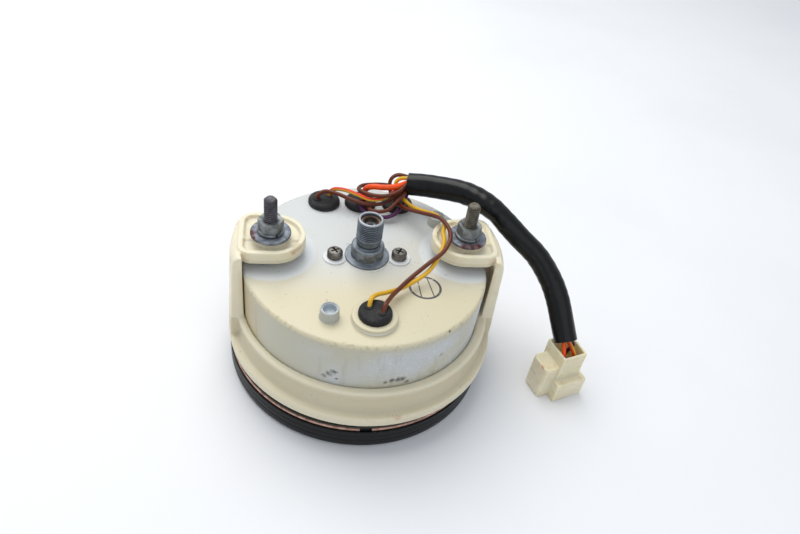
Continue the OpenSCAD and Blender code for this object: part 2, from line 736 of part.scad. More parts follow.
module harness_sleeve() { color([0.05, 0.05, 0.06]) cord(sleeve_route, sleeve_r, 12); }
module wire_brown_left() { color("saddlebrown") cord(brown_left_route, wire_r); }
module wire_striped_left() { color("orangered") cord(striped_left_route, wire_r); }
module wire_brown_centre() { color("saddlebrown") cord(brown_centre_route, wire_r); }
module wire_orange_centre() { color("tomato") cord(orange_centre_route, thick_wire_r); }
module wire_purple_centre() { color("indigo") cord(purple_centre_route, wire_r); }
module wire_brown_right() { color("saddlebrown") cord(brown_right_route, wire_r); }
module wire_brown_lower() { color("saddlebrown") cord(brown_lower_route, wire_r); }
module wire_yellow_lower() { color("goldenrod") cord(yellow_lower_route, wire_r); }

module plug_leads() {
    color("orangered") cord(orange_lead_route, wire_r);
    color("gold") cord(striped_lead_route, wire_r);
    color("indigo") cord(purple_lead_route, wire_r);
}

module plug_housing() {
    color([0.9, 0.87, 0.78]) translate(plug_at) rotate([0, 0, plug_turn]) difference() {
        union() {
            box([0, 0, 0], [17.2, 19, plug_low_h]);
            box([1.5, 4, plug_low_h - eps], [15.2, 18.6, plug_h]);
            rounded_block([-6.3, 5, 0], [2, 17, 20], 1.9);
        }
        box([2.6, 5.1, terminal_top_z], [14.1, 17.5, plug_h + 1]);
        for (u = terminal_u, v = terminal_v)
            box([u - 1.4, v - 1.4, -1], [u + 1.4, v + 1.4, terminal_top_z + 1]);
    }
}

module plug_terminals() {
    color("peru") translate(plug_at) rotate([0, 0, plug_turn])
        for (u = terminal_u, v = terminal_v) difference() {
            box([u - 1.3, v - 1.3, 1], [u + 1.3, v + 1.3, terminal_top_z]);
            box([u - 0.9, v - 0.9, 0], [u + 0.9, v + 0.9, 9]);
        }
}

rear_case();
mounting_bracket();
bracket_cushion();
mounting_studs();
stud_flat_washers();
stud_lock_washers();
stud_nuts();
cable_connector();
connector_gasket();
connector_bush();
movement_screws();
movement_frame();
bezel_ring();
bezel_clamp_ring();
lens();
lens_seal();
shroud_ring();
dial_plate();
dial_screws();
indicator_jewels();
pointer();
pointer_spindle();
drag_cup();
hairspring();
magnet();
input_shaft();
drive_worm();
worm_wheel();
cross_shaft();
odometer_worm();
odometer_drive_wheel();
odometer_axle();
odometer_drum_1();
odometer_drum_2();
odometer_drum_3();
odometer_drum_4();
odometer_drum_5();
carry_pinion_axle();
carry_pinion_1();
carry_pinion_2();
carry_pinion_3();
carry_pinion_4();
bulb_cap_left();
bulb_cap_centre();
bulb_cap_right();
bulb_cap_lower();
bulb_sockets();
bulbs();
harness_sleeve();
wire_brown_left();
wire_striped_left();
wire_brown_centre();
wire_orange_centre();
wire_purple_centre();
wire_brown_right();
wire_brown_lower();
wire_yellow_lower();
plug_leads();
plug_housing();
plug_terminals();
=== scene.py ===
"""Looks of a motorcycle speedometer head lying face down: camera, harness, detailed pieces, materials and light.

Lengths are written in millimetres and scaled to metres where a mesh or curve is made.
"""
import math

import bpy
from mathutils import Matrix, Vector


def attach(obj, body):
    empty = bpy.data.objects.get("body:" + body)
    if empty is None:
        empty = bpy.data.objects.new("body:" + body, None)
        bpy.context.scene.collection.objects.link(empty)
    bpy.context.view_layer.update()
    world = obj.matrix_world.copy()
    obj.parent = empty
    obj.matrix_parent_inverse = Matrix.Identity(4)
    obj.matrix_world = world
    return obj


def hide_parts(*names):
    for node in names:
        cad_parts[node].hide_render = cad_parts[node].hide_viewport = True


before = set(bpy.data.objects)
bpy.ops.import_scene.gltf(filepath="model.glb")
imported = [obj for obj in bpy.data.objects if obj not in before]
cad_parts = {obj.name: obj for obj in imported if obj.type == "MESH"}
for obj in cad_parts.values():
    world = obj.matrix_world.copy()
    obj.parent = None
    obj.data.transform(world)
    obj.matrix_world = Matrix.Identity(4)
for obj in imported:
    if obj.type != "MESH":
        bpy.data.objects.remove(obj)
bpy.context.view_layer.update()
MM = 0.001
TAU = 2 * math.pi
FLAT = (1, 1, 0)

# Places and heights that several pieces share, in millimetres
CASE_TOP = 60
STUD_X = {"left": -44, "right": 46}
SCREW_AT = {"left": (-15, -1), "right": (15, -1)}
POST_AT = {"front": (-19, -39.4), "rear": (37.5, 26.8)}
POST_TOP = 65.2
LOWER_LAMP_AT = (0, -40.6)
LOWER_LAMP_TOP = 62.6
UPPER_LAMP_X = (-18.5, 0, 19)
UPPER_LAMP_Y = 42
STAMP_AT = (24.8, -20.9)
TAB_ANGLE = -91
DIAL_FACE = 15.5
MARK_TOP = 15.62

# ---- Camera ----

cam = bpy.data.objects.new("camera", bpy.data.cameras.new("camera"))
bpy.context.scene.collection.objects.link(cam)
cam.data.sensor_width = 36
cam.data.lens = 29.25
cam.data.clip_start, cam.data.clip_end = 0.01, 10
right = Vector((0.985, -0.120, 0.126))
back = Vector((-0.173, -0.742, 0.647)).normalized()
right = (right - right.dot(back) * back).normalized()
up = back.cross(right)
cam.matrix_world = Matrix.Translation(Vector((-37.2, -230.7, 255.0)) * MM) @ Matrix(
    (right, up, back)).transposed().to_4x4()
bpy.context.scene.camera = cam


# ---- Materials ----

def lin(r, g, b):
    """Linear colour from display values out of 255."""
    return tuple(v / 255 / 12.92 if v <= 10 else ((v / 255 + 0.055) / 1.055) ** 2.4 for v in (r, g, b)) + (1.0,)


class Material:
    """A Principled shader whose colour, roughness and bump are painted in layers of procedural masks."""

    def __init__(self, name, color, rough=0.5, **sockets):
        self.m = bpy.data.materials.new(name)
        self.m.use_nodes = True
        self.t = self.m.node_tree
        self.shader = self.t.nodes["Principled BSDF"]
        self.coords = self.t.nodes.new("ShaderNodeTexCoord").outputs["Object"]
        self.color, self.rough, self.height = color, rough, None
        self.shader.inputs["Base Color"].default_value = color
        self.shader.inputs["Roughness"].default_value = rough
        for key, value in sockets.items():
            self.shader.inputs[key.replace("_", " ")].default_value = value

    def node(self, kind, inputs=None, **settings):
        n = self.t.nodes.new(kind)
        for key, value in settings.items():
            setattr(n, key, value)
        for key, value in (inputs or {}).items():
            if isinstance(value, bpy.types.NodeSocket):
                self.t.links.new(value, n.inputs[key])
            else:
                n.inputs[key].default_value = value
        return n

    def place(self, stretch=(1, 1, 1), shift=(0, 0, 0)):
        return self.node("ShaderNodeMapping",
                         {"Vector": self.coords, "Scale": stretch, "Location": shift}).outputs[0]

    def noise(self, size, stretch=(1, 1, 1), shift=(0, 0, 0), detail=4, distortion=0.0):
        return self.node("ShaderNodeTexNoise", {"Vector": self.place(stretch, shift), "Scale": 1000 / size,
                                                "Detail": detail, "Distortion": distortion}).outputs[0]

    def fade(self, value, low, high, top=1.0):
        return self.node("ShaderNodeMapRange", {0: value, 1: low, 2: high, 3: 0.0, 4: top},
                         interpolation_type="SMOOTHSTEP").outputs[0]

    def math(self, operation, a, b):
        return self.node("ShaderNodeMath", {0: a, 1: b}, operation=operation, use_clamp=True).outputs[0]

    def both(self, a, b):
        """1 where two masks meet."""
        return self.math("MULTIPLY", a, b)

    def patches(self, low, high, size, **look):
        """Irregular patches of a size in millimetres: 0 where the noise is under low, 1 where it is over high."""
        return self.fade(self.noise(size, **look), low, high)

    def span(self, name, low, high):
        """Rises from 0 at low to 1 at high along an axis, in millimetres. low may be above high."""
        parts = self.node("ShaderNodeSeparateXYZ", {0: self.coords})
        return self.fade(parts.outputs[name], low * MM, high * MM)

    def distance(self, about, axes=(1, 1, 1)):
        """Distance from a point in millimetres, or from an upright line where the third axis is 0."""
        at = self.coords
        if axes != (1, 1, 1):
            at = self.node("ShaderNodeVectorMath", {0: at, 1: axes}, operation="MULTIPLY").outputs[0]
        return self.node("ShaderNodeVectorMath", {0: at, 1: [c * MM for c in about]},
                         operation="DISTANCE").outputs["Value"]

    def line(self, value, middle, half):
        """1 where a value in metres is within half, in millimetres, of the middle."""
        off = self.node("ShaderNodeMath", {0: value, 1: middle}, operation="SUBTRACT").outputs[0]
        return self.fade(self.node("ShaderNodeMath", {0: off}, operation="ABSOLUTE").outputs[0],
                         half * MM, half * 0.6 * MM)

    def spot(self, centre, radius, ragged=0.35):
        """1 at a point, falling to 0 at radius, with a ragged edge, in millimetres."""
        gap = self.distance(centre)
        wobble = self.node("ShaderNodeMath", {0: self.noise(radius * 0.7), 1: ragged * radius * 2 * MM},
                           operation="MULTIPLY").outputs[0]
        return self.fade(self.node("ShaderNodeMath", {0: gap, 1: wobble}, operation="ADD").outputs[0],
                         radius * 1.35 * MM, radius * 0.6 * MM)

    def ring_mark(self, centre, radius, width):
        """A thin circle round a point in plan."""
        return self.line(self.distance((*centre, 0), FLAT), radius * MM, width)

    def bar(self, through, across, half):
        """A straight line in plan, given a point on it and the direction across it."""
        parts = self.node("ShaderNodeVectorMath", {0: self.coords, 1: (*across, 0)}, operation="DOT_PRODUCT")
        at = (through[0] * across[0] + through[1] * across[1]) * MM
        return self.line(parts.outputs["Value"], at, half)

    def radial(self, low, high, about=(0, 0)):
        """Rises from 0 at one distance from an upright line to 1 at another."""
        return self.fade(self.distance((*about, 0), FLAT), low * MM, high * MM)

    def underside(self):
        """1 on faces that look down."""
        normal = self.node("ShaderNodeNewGeometry").outputs["Normal"]
        return self.fade(self.node("ShaderNodeSeparateXYZ", {0: normal}).outputs["Z"], -0.1, -0.6)

    def crease(self, low, high):
        """1 in hollows and folds of a dense mesh where low is below 0.5, or on its ridges where it is above."""
        return self.fade(self.node("ShaderNodeNewGeometry").outputs["Pointiness"], low, high)

    def paint(self, mask, color=None, rough=None, amount=1.0):
        """Mixes a colour and a roughness in where the mask is 1."""
        if amount != 1.0:
            mask = self.math("MULTIPLY", mask, amount)
        if color is not None:
            self.color = self.node("ShaderNodeMix", {0: mask, 6: self.color, 7: color},
                                   data_type="RGBA").outputs[2]
        if rough is not None:
            self.rough = self.node("ShaderNodeMix", {0: mask, 2: self.rough, 3: rough},
                                   data_type="FLOAT").outputs[0]
        return self

    def grain(self, size, depth, stretch=(1, 1, 1), detail=3):
        """Adds relief of that size and depth, in millimetres."""
        bump = self.node("ShaderNodeBump", {"Strength": 1.0, "Distance": depth * MM,
                                            "Height": self.noise(size, stretch, detail=detail)})
        if self.height is not None:
            self.t.links.new(self.height, bump.inputs["Normal"])
        self.height = bump.outputs[0]
        return self

    def done(self):
        for value, key in ((self.color, "Base Color"), (self.rough, "Roughness"), (self.height, "Normal")):
            if isinstance(value, bpy.types.NodeSocket):
                self.t.links.new(value, self.shader.inputs[key])
        return self.m


def case_paint():
    p = Material("case_paint", lin(206, 208, 207), 0.38, Coat_Weight=0.08, Coat_Roughness=0.3)
    p.paint(p.both(p.span("Y", 2, -30), p.span("Z", 50, 58)), lin(210, 199, 165), amount=0.9)
    p.paint(p.patches(0.4, 0.65, 48, detail=3), lin(206, 199, 174), amount=0.4)
    # Paler, bluish paint round each stud where the bracket ear kept the paint from yellowing, made brighter still
    # as painted light that lifts the ear's shadow on the back
    for x in STUD_X.values():
        p.paint(p.radial(21.4, 19.4, (x, 2.7)), lin(216, 221, 226), amount=0.75)
    # Painted shade: the whole drum wall below the top edge is painted greyer and darker than the top
    p.paint(p.span("Z", 59.2, 57.6), lin(188, 184, 164), amount=0.95)
    p.paint(p.both(p.span("Z", 59.2, 57.6), p.span("X", -44, -54)), lin(186, 168, 124), amount=0.8)
    # Paler paint on what stands just proud of the back: the screw seats and the lamp collar's foot
    p.paint(p.both(p.span("Z", 60.25, 60.35), p.span("Z", 61.3, 61.1)), lin(232, 234, 237), amount=0.8)
    middle = p.both(p.patches(0.35, 0.6, 30, shift=(2, 0, 5), detail=5), p.span("Z", 59, 52))
    p.paint(p.both(middle, p.span("X", -38, -12)), lin(192, 195, 198), amount=0.85)
    streaks = p.patches(0.54, 0.72, 5, stretch=(1, 1, 0.14), detail=6)
    p.paint(p.both(streaks, p.span("Z", 58, 52)), lin(158, 148, 122), 0.55, 0.4)
    scuffs = p.both(p.fade(p.noise(2.6, stretch=(1, 1, 2.2), shift=(4, 0, 1), detail=8, distortion=2.5),
                                       0.56, 0.68), p.span("Z", 59, 56))
    p.paint(p.both(scuffs, p.span("X", -14, 8)), lin(226, 228, 230), 0.5, 0.55)
    rim = p.both(p.both(p.span("Z", 56, 58.5), p.radial(54.5, 56)),
                 p.patches(0.54, 0.64, 1.8, detail=7))
    p.paint(rim, lin(172, 156, 122), 0.6, 0.4)
    p.paint(p.patches(0.67, 0.74, 1.6, shift=(7, 0, 2), detail=5), lin(150, 132, 100), 0.6, 0.5)
    for centre, radius in (((-20.6, -53.1, 39), 2.4), ((-18.8, -53.8, 40.5), 2.6), ((-16.6, -54.5, 42.6), 2.8),
                           ((-15.3, -54.9, 38.5), 1.4), ((5.4, -56.7, 38), 2), ((8.2, -56.4, 38.8), 2.4),
                           ((10.8, -56, 39), 2.8), ((13, -55.5, 38.4), 2.8), ((15.2, -54.9, 36.5), 2)):
        p.paint(p.spot(centre, radius, 0.6), lin(42, 42, 41), 0.6, 0.85)
    p.paint(p.spot((31.8, -47.3, 59.5), 1.1, 0.3), lin(60, 48, 34), 0.6, 0.9)
    for centre, radius in (((30, -48.5, 46), 2.5), ((-38, -42, 30), 3), ((36, -12, 60), 1.0), ((24, -4, 60), 0.9)):
        p.paint(p.spot(centre, radius, 0.6), lin(150, 136, 104), 0.6, 0.6)
    p.paint(p.span("Z", 33, 17), lin(140, 128, 96), 0.6, 0.5)
    # Painted shade: the rolled flange at the foot of the case is painted almost black, standing for the shadow gap
    # under the bracket's lip
    p.paint(p.span("Z", 14.6, 14.0), lin(34, 32, 29), 0.7, 0.92)
    # Round inspection stamp with two strokes, worn in places
    inside = p.radial(7.3, 6.9, STAMP_AT)
    bars = p.math("MAXIMUM", p.bar((22.1, -22), (1, 0.03), 0.34),
                  p.bar((27.3, -20.5), (0.992, 0.125), 0.34))
    ink = p.math("MAXIMUM", p.ring_mark(STAMP_AT, 7, 0.7), p.both(bars, inside))
    ink = p.both(p.both(ink, p.span("Z", 59.6, 59.9)), p.patches(0.26, 0.4, 2.5, detail=2))
    p.paint(ink, lin(30, 36, 62), 0.5, 0.9)
    return p.grain(1.6, 0.03).grain(16, 0.1).done()


def nylon(name, color, shade, thick=True):
    p = Material(name, color, 0.4, Subsurface_Weight=0.4 if thick else 0.6, Subsurface_Radius=(1.0, 0.75, 0.4),
                 Subsurface_Scale=0.003, Specular_IOR_Level=0.45)
    p.paint(p.patches(0.4, 0.65, 26, detail=3), shade, amount=0.6)
    if thick:
        # Painted light: the legs' inner faces toward the case get a bright amber, standing for light that shines
        # through the nylon into the gap
        gap = p.both(p.span("Z", 64, 61), p.span("Z", 35, 41))
        p.paint(p.both(p.radial(60.8, 59.8, (1, 0)), gap), lin(210, 158, 82), 0.5, 0.9)
        # Painted shade: a darker brown strip along the lower edge of the ear walls, where they are set back in
        # shade
        skirt = p.both(p.span("Z", 66.9, 66.3), p.span("Z", 63.6, 64.1))
        p.paint(p.both(p.radial(57.8, 57, (1, 0)), skirt), lin(142, 118, 76), 0.5, 0.85)
        # Painted shade: faces that look down, above the case's back, are painted dark amber
        p.paint(p.both(p.underside(), p.span("Z", 58, 62)), lin(176, 136, 78), 0.5, 0.85)
        # Painted shade in hollows and folds, and a painted highlight along ridges and edges
        p.paint(p.crease(0.49, 0.44), lin(140, 112, 66), 0.6, 0.75)
        p.paint(p.crease(0.52, 0.58), lin(240, 233, 212), amount=0.5)
        # Painted shade: darker from z 50 down over the band's concave flare; painted highlights: lighter lines at
        # the band's rolled top lip and at its lower lip
        p.paint(p.span("Z", 50, 34), lin(203, 193, 166), amount=0.85)
        p.paint(p.span("Z", 33.4, 34.6), lin(232, 224, 200), amount=0.8)
        p.paint(p.span("Z", 23.6, 22), lin(226, 218, 194), amount=0.7)
        p.paint(p.both(p.patches(0.58, 0.7, 9, shift=(0, 4, 0), detail=6), p.span("Z", 40, 66)),
                lin(196, 178, 138), 0.5, 0.5)
        for centre, radius in (((-46, 16, 70), 3), ((60, -8, 68), 3), ((-34, -9, 69), 2.5), ((12, -64, 22), 3)):
            p.paint(p.spot(centre, radius, 0.5), lin(190, 120, 62), 0.5, 0.4)
    else:
        p.paint(p.spot((87.7, -34.1, 19.8), 2.2, 0.5), lin(196, 118, 54), 0.5, 0.75)
        p.paint(p.spot((97.2, -38.4, 11), 1.0, 0.3), lin(96, 92, 84), 0.5, 0.8)
        p.paint(p.patches(0.5, 0.7, 4, stretch=(1, 1, 3), detail=4), lin(206, 192, 156), amount=0.6)
    p.paint(p.patches(0.68, 0.76, 1.3, shift=(1, 5, 0), detail=4), lin(128, 104, 66), 0.6, 0.5)
    return p.grain(2.5, 0.03).grain(18, 0.15).done()


def darker(color, share):
    return tuple(share * c for c in color[:3]) + (1.0,)


def metal(name, color, rough, tint=None, rust=0.0, brushed=None, grain=0.02, spots=(), thread=None):
    """Worn metal. tint is its tarnish, brushed the stretch of its polish, thread the axis of a stud, whose thread
    roots get painted shade.
    """
    p = Material(name, color, rough, Metallic=0.9)
    p.paint(p.patches(0.38, 0.66, 3.2, detail=6), tint or darker(color, 0.6),
            min(rough + 0.2, 0.9), 0.8)
    if brushed:
        p.paint(p.patches(0.4, 0.7, 0.8, stretch=brushed, detail=3), None, rough * 0.6, 0.6)
    if rust:
        p.paint(p.patches(0.62 - 0.12 * rust, 0.7, 4.2, shift=(2, 3, 1), detail=8), lin(120, 62, 30), 0.85, 0.85)
    # Painted shade in the roots of the stud's thread
    if thread:
        groove = p.both(p.radial(2.9, 2.6, thread), p.span("Z", 91.1, 90.7))
        p.paint(groove, darker(color, 0.35), 0.7, 0.85)
    for centre, radius in spots:
        p.paint(p.spot(centre, radius, 0.6), lin(112, 44, 32), 0.85, 0.9)
    return p.grain(0.9, grain).done()


def rubber(rough=0.62):
    p = Material("rubber", lin(25, 25, 27), rough, Specular_IOR_Level=0.35)
    p.paint(p.patches(0.45, 0.7, 5, detail=5), lin(66, 65, 63), rough + 0.15, 0.55)
    p.paint(p.patches(0.64, 0.74, 1.1, detail=3), lin(110, 106, 96), 0.9, 0.4)
    return p.grain(1.1, 0.12).done()


def vinyl(name, color, dirt):
    p = Material(name, color, 0.32, Coat_Weight=0.08, Coat_Roughness=0.2, Specular_IOR_Level=0.35)
    p.paint(p.patches(0.5, 0.72, 7, detail=5), dirt, 0.5, 0.4)
    return p.grain(1.5, 0.03).done()


def plain(name, color, rough, metallic=0.0, mark=0.35, size=3.0, **sockets):
    """Painted or moulded surface with mild mottling."""
    p = Material(name, color, rough, Metallic=metallic, **sockets)
    p.paint(p.patches(0.4, 0.7, size, detail=5), darker(color, 0.7),
            min(rough + 0.15, 0.95), mark)
    return p.grain(size * 0.4, 0.015).done()


def bezel_paint():
    p = Material("bezel_paint", lin(6, 7, 8), 0.4, Specular_IOR_Level=0.25)
    p.paint(p.patches(0.45, 0.7, 9, stretch=(1, 1, 3), detail=5), lin(22, 23, 23), 0.5, 0.5)
    p.paint(p.patches(0.66, 0.75, 1.6, detail=5), lin(108, 104, 96), 0.7, 0.5)
    return p.grain(1.2, 0.03).done()


def sleeve_vinyl():
    p = Material("sleeve_vinyl", lin(4, 4, 6), 0.3, Coat_Weight=0.15, Coat_Roughness=0.1, Specular_IOR_Level=0.25)
    p.paint(p.patches(0.52, 0.75, 9, detail=6), lin(14, 14, 15), 0.42, 0.45)
    p.paint(p.patches(0.69, 0.77, 1.4, detail=4), lin(80, 78, 74), 0.7, 0.3)
    return p.grain(5, 0.06).grain(18, 0.25).done()


def connector_zinc():
    p = Material("connector_zinc", lin(138, 145, 153), 0.5, Metallic=0.75)
    p.paint(p.patches(0.4, 0.66, 4, detail=7), lin(104, 110, 118), 0.6, 0.7)
    p.paint(p.both(p.patches(0.46, 0.62, 3, shift=(0, 0, 4), detail=6),
                   p.both(p.span("Z", 68, 66), p.span("Z", 61.8, 62.6))), lin(96, 88, 72), 0.7, 0.6)
    # Painted shade in the undercut below the thread, in the thread's roots and in the bore
    p.paint(p.both(p.radial(5.85, 5.5), p.span("Z", 68.2, 68.6)), lin(58, 62, 68), 0.7, 0.85)
    p.paint(p.span("Z", 81.4, 82.0), lin(186, 190, 196), 0.35, 0.7)
    return p.grain(0.8, 0.03).done()


def bush_bronze():
    # Painted shade: the bush is painted dark bronze, as the bore is in shade, with only the outer rim of its top
    # in its own tan
    p = Material("bush_bronze", lin(72, 62, 54), 0.4, Metallic=0.8)
    p.paint(p.radial(3.7, 3.95), lin(176, 136, 108), 0.45, 0.9)
    return p.grain(0.8, 0.02).done()


def clear(name, color, rough=0.02):
    p = Material(name, color, rough, Transmission_Weight=1.0, IOR=1.5)
    p.paint(p.patches(0.6, 0.8, 12, detail=6), None, rough + 0.08, 0.6)
    return p.done()


BROWN = vinyl("wire_brown", lin(98, 40, 14), lin(62, 27, 13))
ORANGE = vinyl("wire_orange", lin(250, 84, 16), lin(205, 62, 18))
RED = vinyl("wire_red", lin(222, 58, 18), lin(165, 42, 18))
YELLOW = vinyl("wire_yellow", lin(222, 170, 34), lin(166, 118, 34))
PURPLE = vinyl("wire_purple", lin(80, 22, 74), lin(45, 18, 40))
PAINT = case_paint()
BRACKET = nylon("bracket_nylon", lin(232, 222, 195), lin(219, 204, 168))
PLUG = nylon("plug_nylon", lin(232, 224, 198), lin(222, 208, 172), thick=False)
RUST_SPOTS = (((-52.4, -1.5, 73.6), 4.2), ((-51.3, -5, 73.9), 2.6), ((46.5, -8.4, 73.7), 4.2),
              ((50.2, -7, 73.7), 3.8), ((42.8, -7.8, 73.7), 3.2))
ZINC = metal("zinc_plate", lin(150, 154, 155), 0.55, lin(112, 114, 114))
WASHER = metal("washer_zinc", lin(138, 144, 154), 0.5, lin(100, 104, 112), rust=0.15, spots=RUST_SPOTS)
STUDS = (metal("stud_steel_left", lin(118, 115, 120), 0.46, lin(76, 72, 78), rust=0.1,
               thread=(STUD_X["left"], 0)),
         metal("stud_steel_right", lin(134, 128, 116), 0.5, lin(92, 84, 72), rust=0.25,
               thread=(STUD_X["right"], 0)))
SCREW = metal("screw_steel", lin(132, 128, 122), 0.42, lin(76, 71, 66))
POST_PAINT = plain("post_paint", lin(186, 187, 180), 0.45, mark=0.3)
LINER = plain("post_liner", lin(190, 198, 205), 0.45, 0.2, mark=0.2)
STEEL = metal("ground_steel", lin(190, 192, 196), 0.25, brushed=(1, 1, 6))
BRASS = metal("brass", lin(206, 170, 104), 0.3, lin(160, 124, 68))
COPPER = metal("clamp_copper", lin(204, 166, 150), 0.4, lin(150, 116, 102))
ALLOY = metal("cast_alloy", lin(176, 178, 182), 0.5, lin(136, 138, 142), grain=0.05)
RUBBER = rubber()
BLACK = plain("dial_black", lin(22, 22, 24), 0.62)
WHITE = plain("dial_white", lin(236, 234, 226), 0.6, mark=0.15)
GREY_PLASTIC = plain("shroud_plastic", lin(40, 40, 42), 0.7)
CREAM = plain("gear_nylon", lin(236, 230, 212), 0.45, mark=0.25, Subsurface_Weight=0.1, Subsurface_Scale=0.002)

CAD_LOOKS = {
    "bracket_cushion": RUBBER, "connector_bush": bush_bronze(), "movement_frame": ALLOY, "lens_seal": RUBBER,
    "shroud_ring": GREY_PLASTIC, "dial_plate": BLACK, "pointer_spindle": STEEL,
    "dial_screws": metal("dial_screw_steel", lin(70, 70, 72), 0.4),
    "lens": clear("lens_glass", lin(248, 252, 252)),
    "drag_cup": metal("cup_alloy", lin(200, 202, 206), 0.28, brushed=(1, 1, 8)), "hairspring": BRASS,
    "magnet": metal("magnet_iron", lin(88, 88, 92), 0.55), "drive_worm": BRASS,
    "input_shaft": metal("shaft_steel", lin(228, 231, 235), 0.25, lin(200, 203, 208)),
    "worm_wheel": CREAM, "cross_shaft": STEEL, "odometer_worm": BRASS, "odometer_drive_wheel": CREAM,
    "odometer_axle": STEEL, "odometer_drum_1": WHITE, "carry_pinion_axle": STEEL,
    "bulb_sockets": metal("socket_tin", lin(190, 188, 180), 0.35),
    "bulbs": clear("bulb_glass", lin(245, 240, 222)),
    "plug_terminals": metal("terminal_brass", lin(200, 178, 122), 0.35, rust=0.2),
}
for number in range(2, 6):
    CAD_LOOKS[f"odometer_drum_{number}"] = BLACK
for number in range(1, 5):
    CAD_LOOKS[f"carry_pinion_{number}"] = CREAM
for node_name, look in CAD_LOOKS.items():
    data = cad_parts[node_name].data
    data.materials.clear()
    data.materials.append(look)


# ---- Mesh helpers ----

def piece(name, verts, faces, look, body="case", nodes=(), sharp=35):
    """A shown piece from vertices in millimetres."""
    mesh = bpy.data.meshes.new(name)
    mesh.from_pydata([Vector(v) * MM for v in verts], [], faces)
    mesh.validate()
    return finish_piece(name, mesh, look, body, nodes, sharp)


def finish_piece(name, mesh, look, body, nodes, sharp=35):
    mesh.materials.clear()
    mesh.materials.append(look)
    mesh.shade_smooth()
    if sharp:
        mesh.set_sharp_from_angle(angle=math.radians(sharp))
    obj = bpy.data.objects.new(name, mesh)
    bpy.context.scene.collection.objects.link(obj)
    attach(obj, body)
    if nodes:
        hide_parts(*([nodes] if isinstance(nodes, str) else nodes))
    return obj


def rounded(points, steps=5):
    """A profile with arcs at the corners that carry a third number, their radius."""
    out = []
    for i, p in enumerate(points):
        if len(p) < 3:
            out.append(tuple(p))
            continue
        here = Vector(p[:2])
        a = (Vector(points[i - 1][:2]) - here)
        b = (Vector(points[(i + 1) % len(points)][:2]) - here)
        half = a.angle(b) / 2
        reach = min(p[2] / math.tan(half), 0.49 * a.length, 0.49 * b.length)
        radius = reach * math.tan(half)
        middle = here + (a.normalized() + b.normalized()).normalized() * (radius / math.sin(half))
        start, end = here + a.normalized() * reach - middle, here + b.normalized() * reach - middle
        turn = start.angle_signed(end)
        for k in range(steps + 1):
            spin = -turn * k / steps
            out.append((middle.x + start.x * math.cos(spin) - start.y * math.sin(spin),
                        middle.y + start.x * math.sin(spin) + start.y * math.cos(spin)))
    return out


def skin(rings, n):
    """Faces between rings of n vertices. A ring of one vertex is a pole."""
    faces = []
    for a, b in zip(rings, rings[1:]):
        for k in range(n):
            j = (k + 1) % n
            if len(a) == 1:
                faces.append((a[0], b[j], b[k]))
            elif len(b) == 1:
                faces.append((a[k], a[j], b[0]))
            else:
                faces.append((a[k], a[j], b[j], b[k]))
    return faces


def turned(rows, n=64, at=(0, 0), closed=False):
    """Vertices and faces of a turned body. A row is (radius, height), or a function of the angle that gives them.
    A row of zero radius at either end is a pole; a closed body joins its last row to its first."""
    verts, rings = [], []
    for row in rows:
        if not callable(row) and row[0] < 1e-6:
            rings.append([len(verts)])
            verts.append((at[0], at[1], row[1]))
            continue
        ring = []
        for k in range(n):
            a = TAU * k / n
            r, z = row(a) if callable(row) else row
            ring.append(len(verts))
            verts.append((at[0] + r * math.cos(a), at[1] + r * math.sin(a), z))
        rings.append(ring)
    return verts, skin(rings + (rings[:1] if closed else []), n)


def swept(section, steps, place):
    """Vertices and faces of a ring that is open at one side. place maps (radius, height, share) to a point."""
    n = len(section)
    verts = [place(r, z, i / steps) for i in range(steps + 1) for r, z in section]
    faces = []
    for i in range(steps):
        for k in range(n):
            j = (k + 1) % n
            faces.append((i * n + k, (i + 1) * n + k, (i + 1) * n + j, i * n + j))
    return verts, faces + [tuple(range(n)), tuple(steps * n + k for k in reversed(range(n)))]


def turned_piece(name, rows, look, n=64, at=(0, 0), closed=False, body="case", nodes=(), sharp=35):
    verts, faces = turned(rows, n, at, closed)
    return piece(name, verts, faces, look, body, nodes, sharp)


def several(name, parts, look, body="case", nodes=(), sharp=35):
    """One piece out of several closed bodies."""
    verts, faces = [], []
    for part_verts, part_faces in parts:
        base = len(verts)
        verts += part_verts
        faces += [tuple(base + i for i in f) for f in part_faces]
    return piece(name, verts, faces, look, body, nodes, sharp)


def block(low, high, spin=0, about=(0, 0)):
    """Vertices and faces of a block, turned in plan about a point."""
    c, s = math.cos(math.radians(spin)), math.sin(math.radians(spin))
    verts = []
    for x in (low[0], high[0]):
        for y in (low[1], high[1]):
            for z in (low[2], high[2]):
                verts.append((about[0] + x * c - y * s, about[1] + x * s + y * c, z))
    return verts, [(0, 1, 3, 2), (4, 6, 7, 5), (0, 4, 5, 1), (2, 3, 7, 6), (0, 2, 6, 4), (1, 5, 7, 3)]


def evaluated(obj):
    """The object's mesh with its modifiers applied."""
    graph = bpy.context.evaluated_depsgraph_get()
    return bpy.data.meshes.new_from_object(obj.evaluated_get(graph))


def softened(node, name, look, voxel, passes=4):
    """A moulded copy of a CAD node, its edges and inner corners rounded by an even remesh and smoothing."""
    source = bpy.data.objects.new(name + "_source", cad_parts[node].data.copy())
    bpy.context.scene.collection.objects.link(source)
    remesh = source.modifiers.new("even", "REMESH")
    remesh.mode = "VOXEL"
    remesh.voxel_size = voxel * MM
    smooth = source.modifiers.new("round", "SMOOTH")
    smooth.factor, smooth.iterations = 0.5, passes
    mesh = evaluated(source)
    bpy.data.objects.remove(source)
    mesh.name = name
    return finish_piece(name, mesh, look, "case", node, sharp=0)


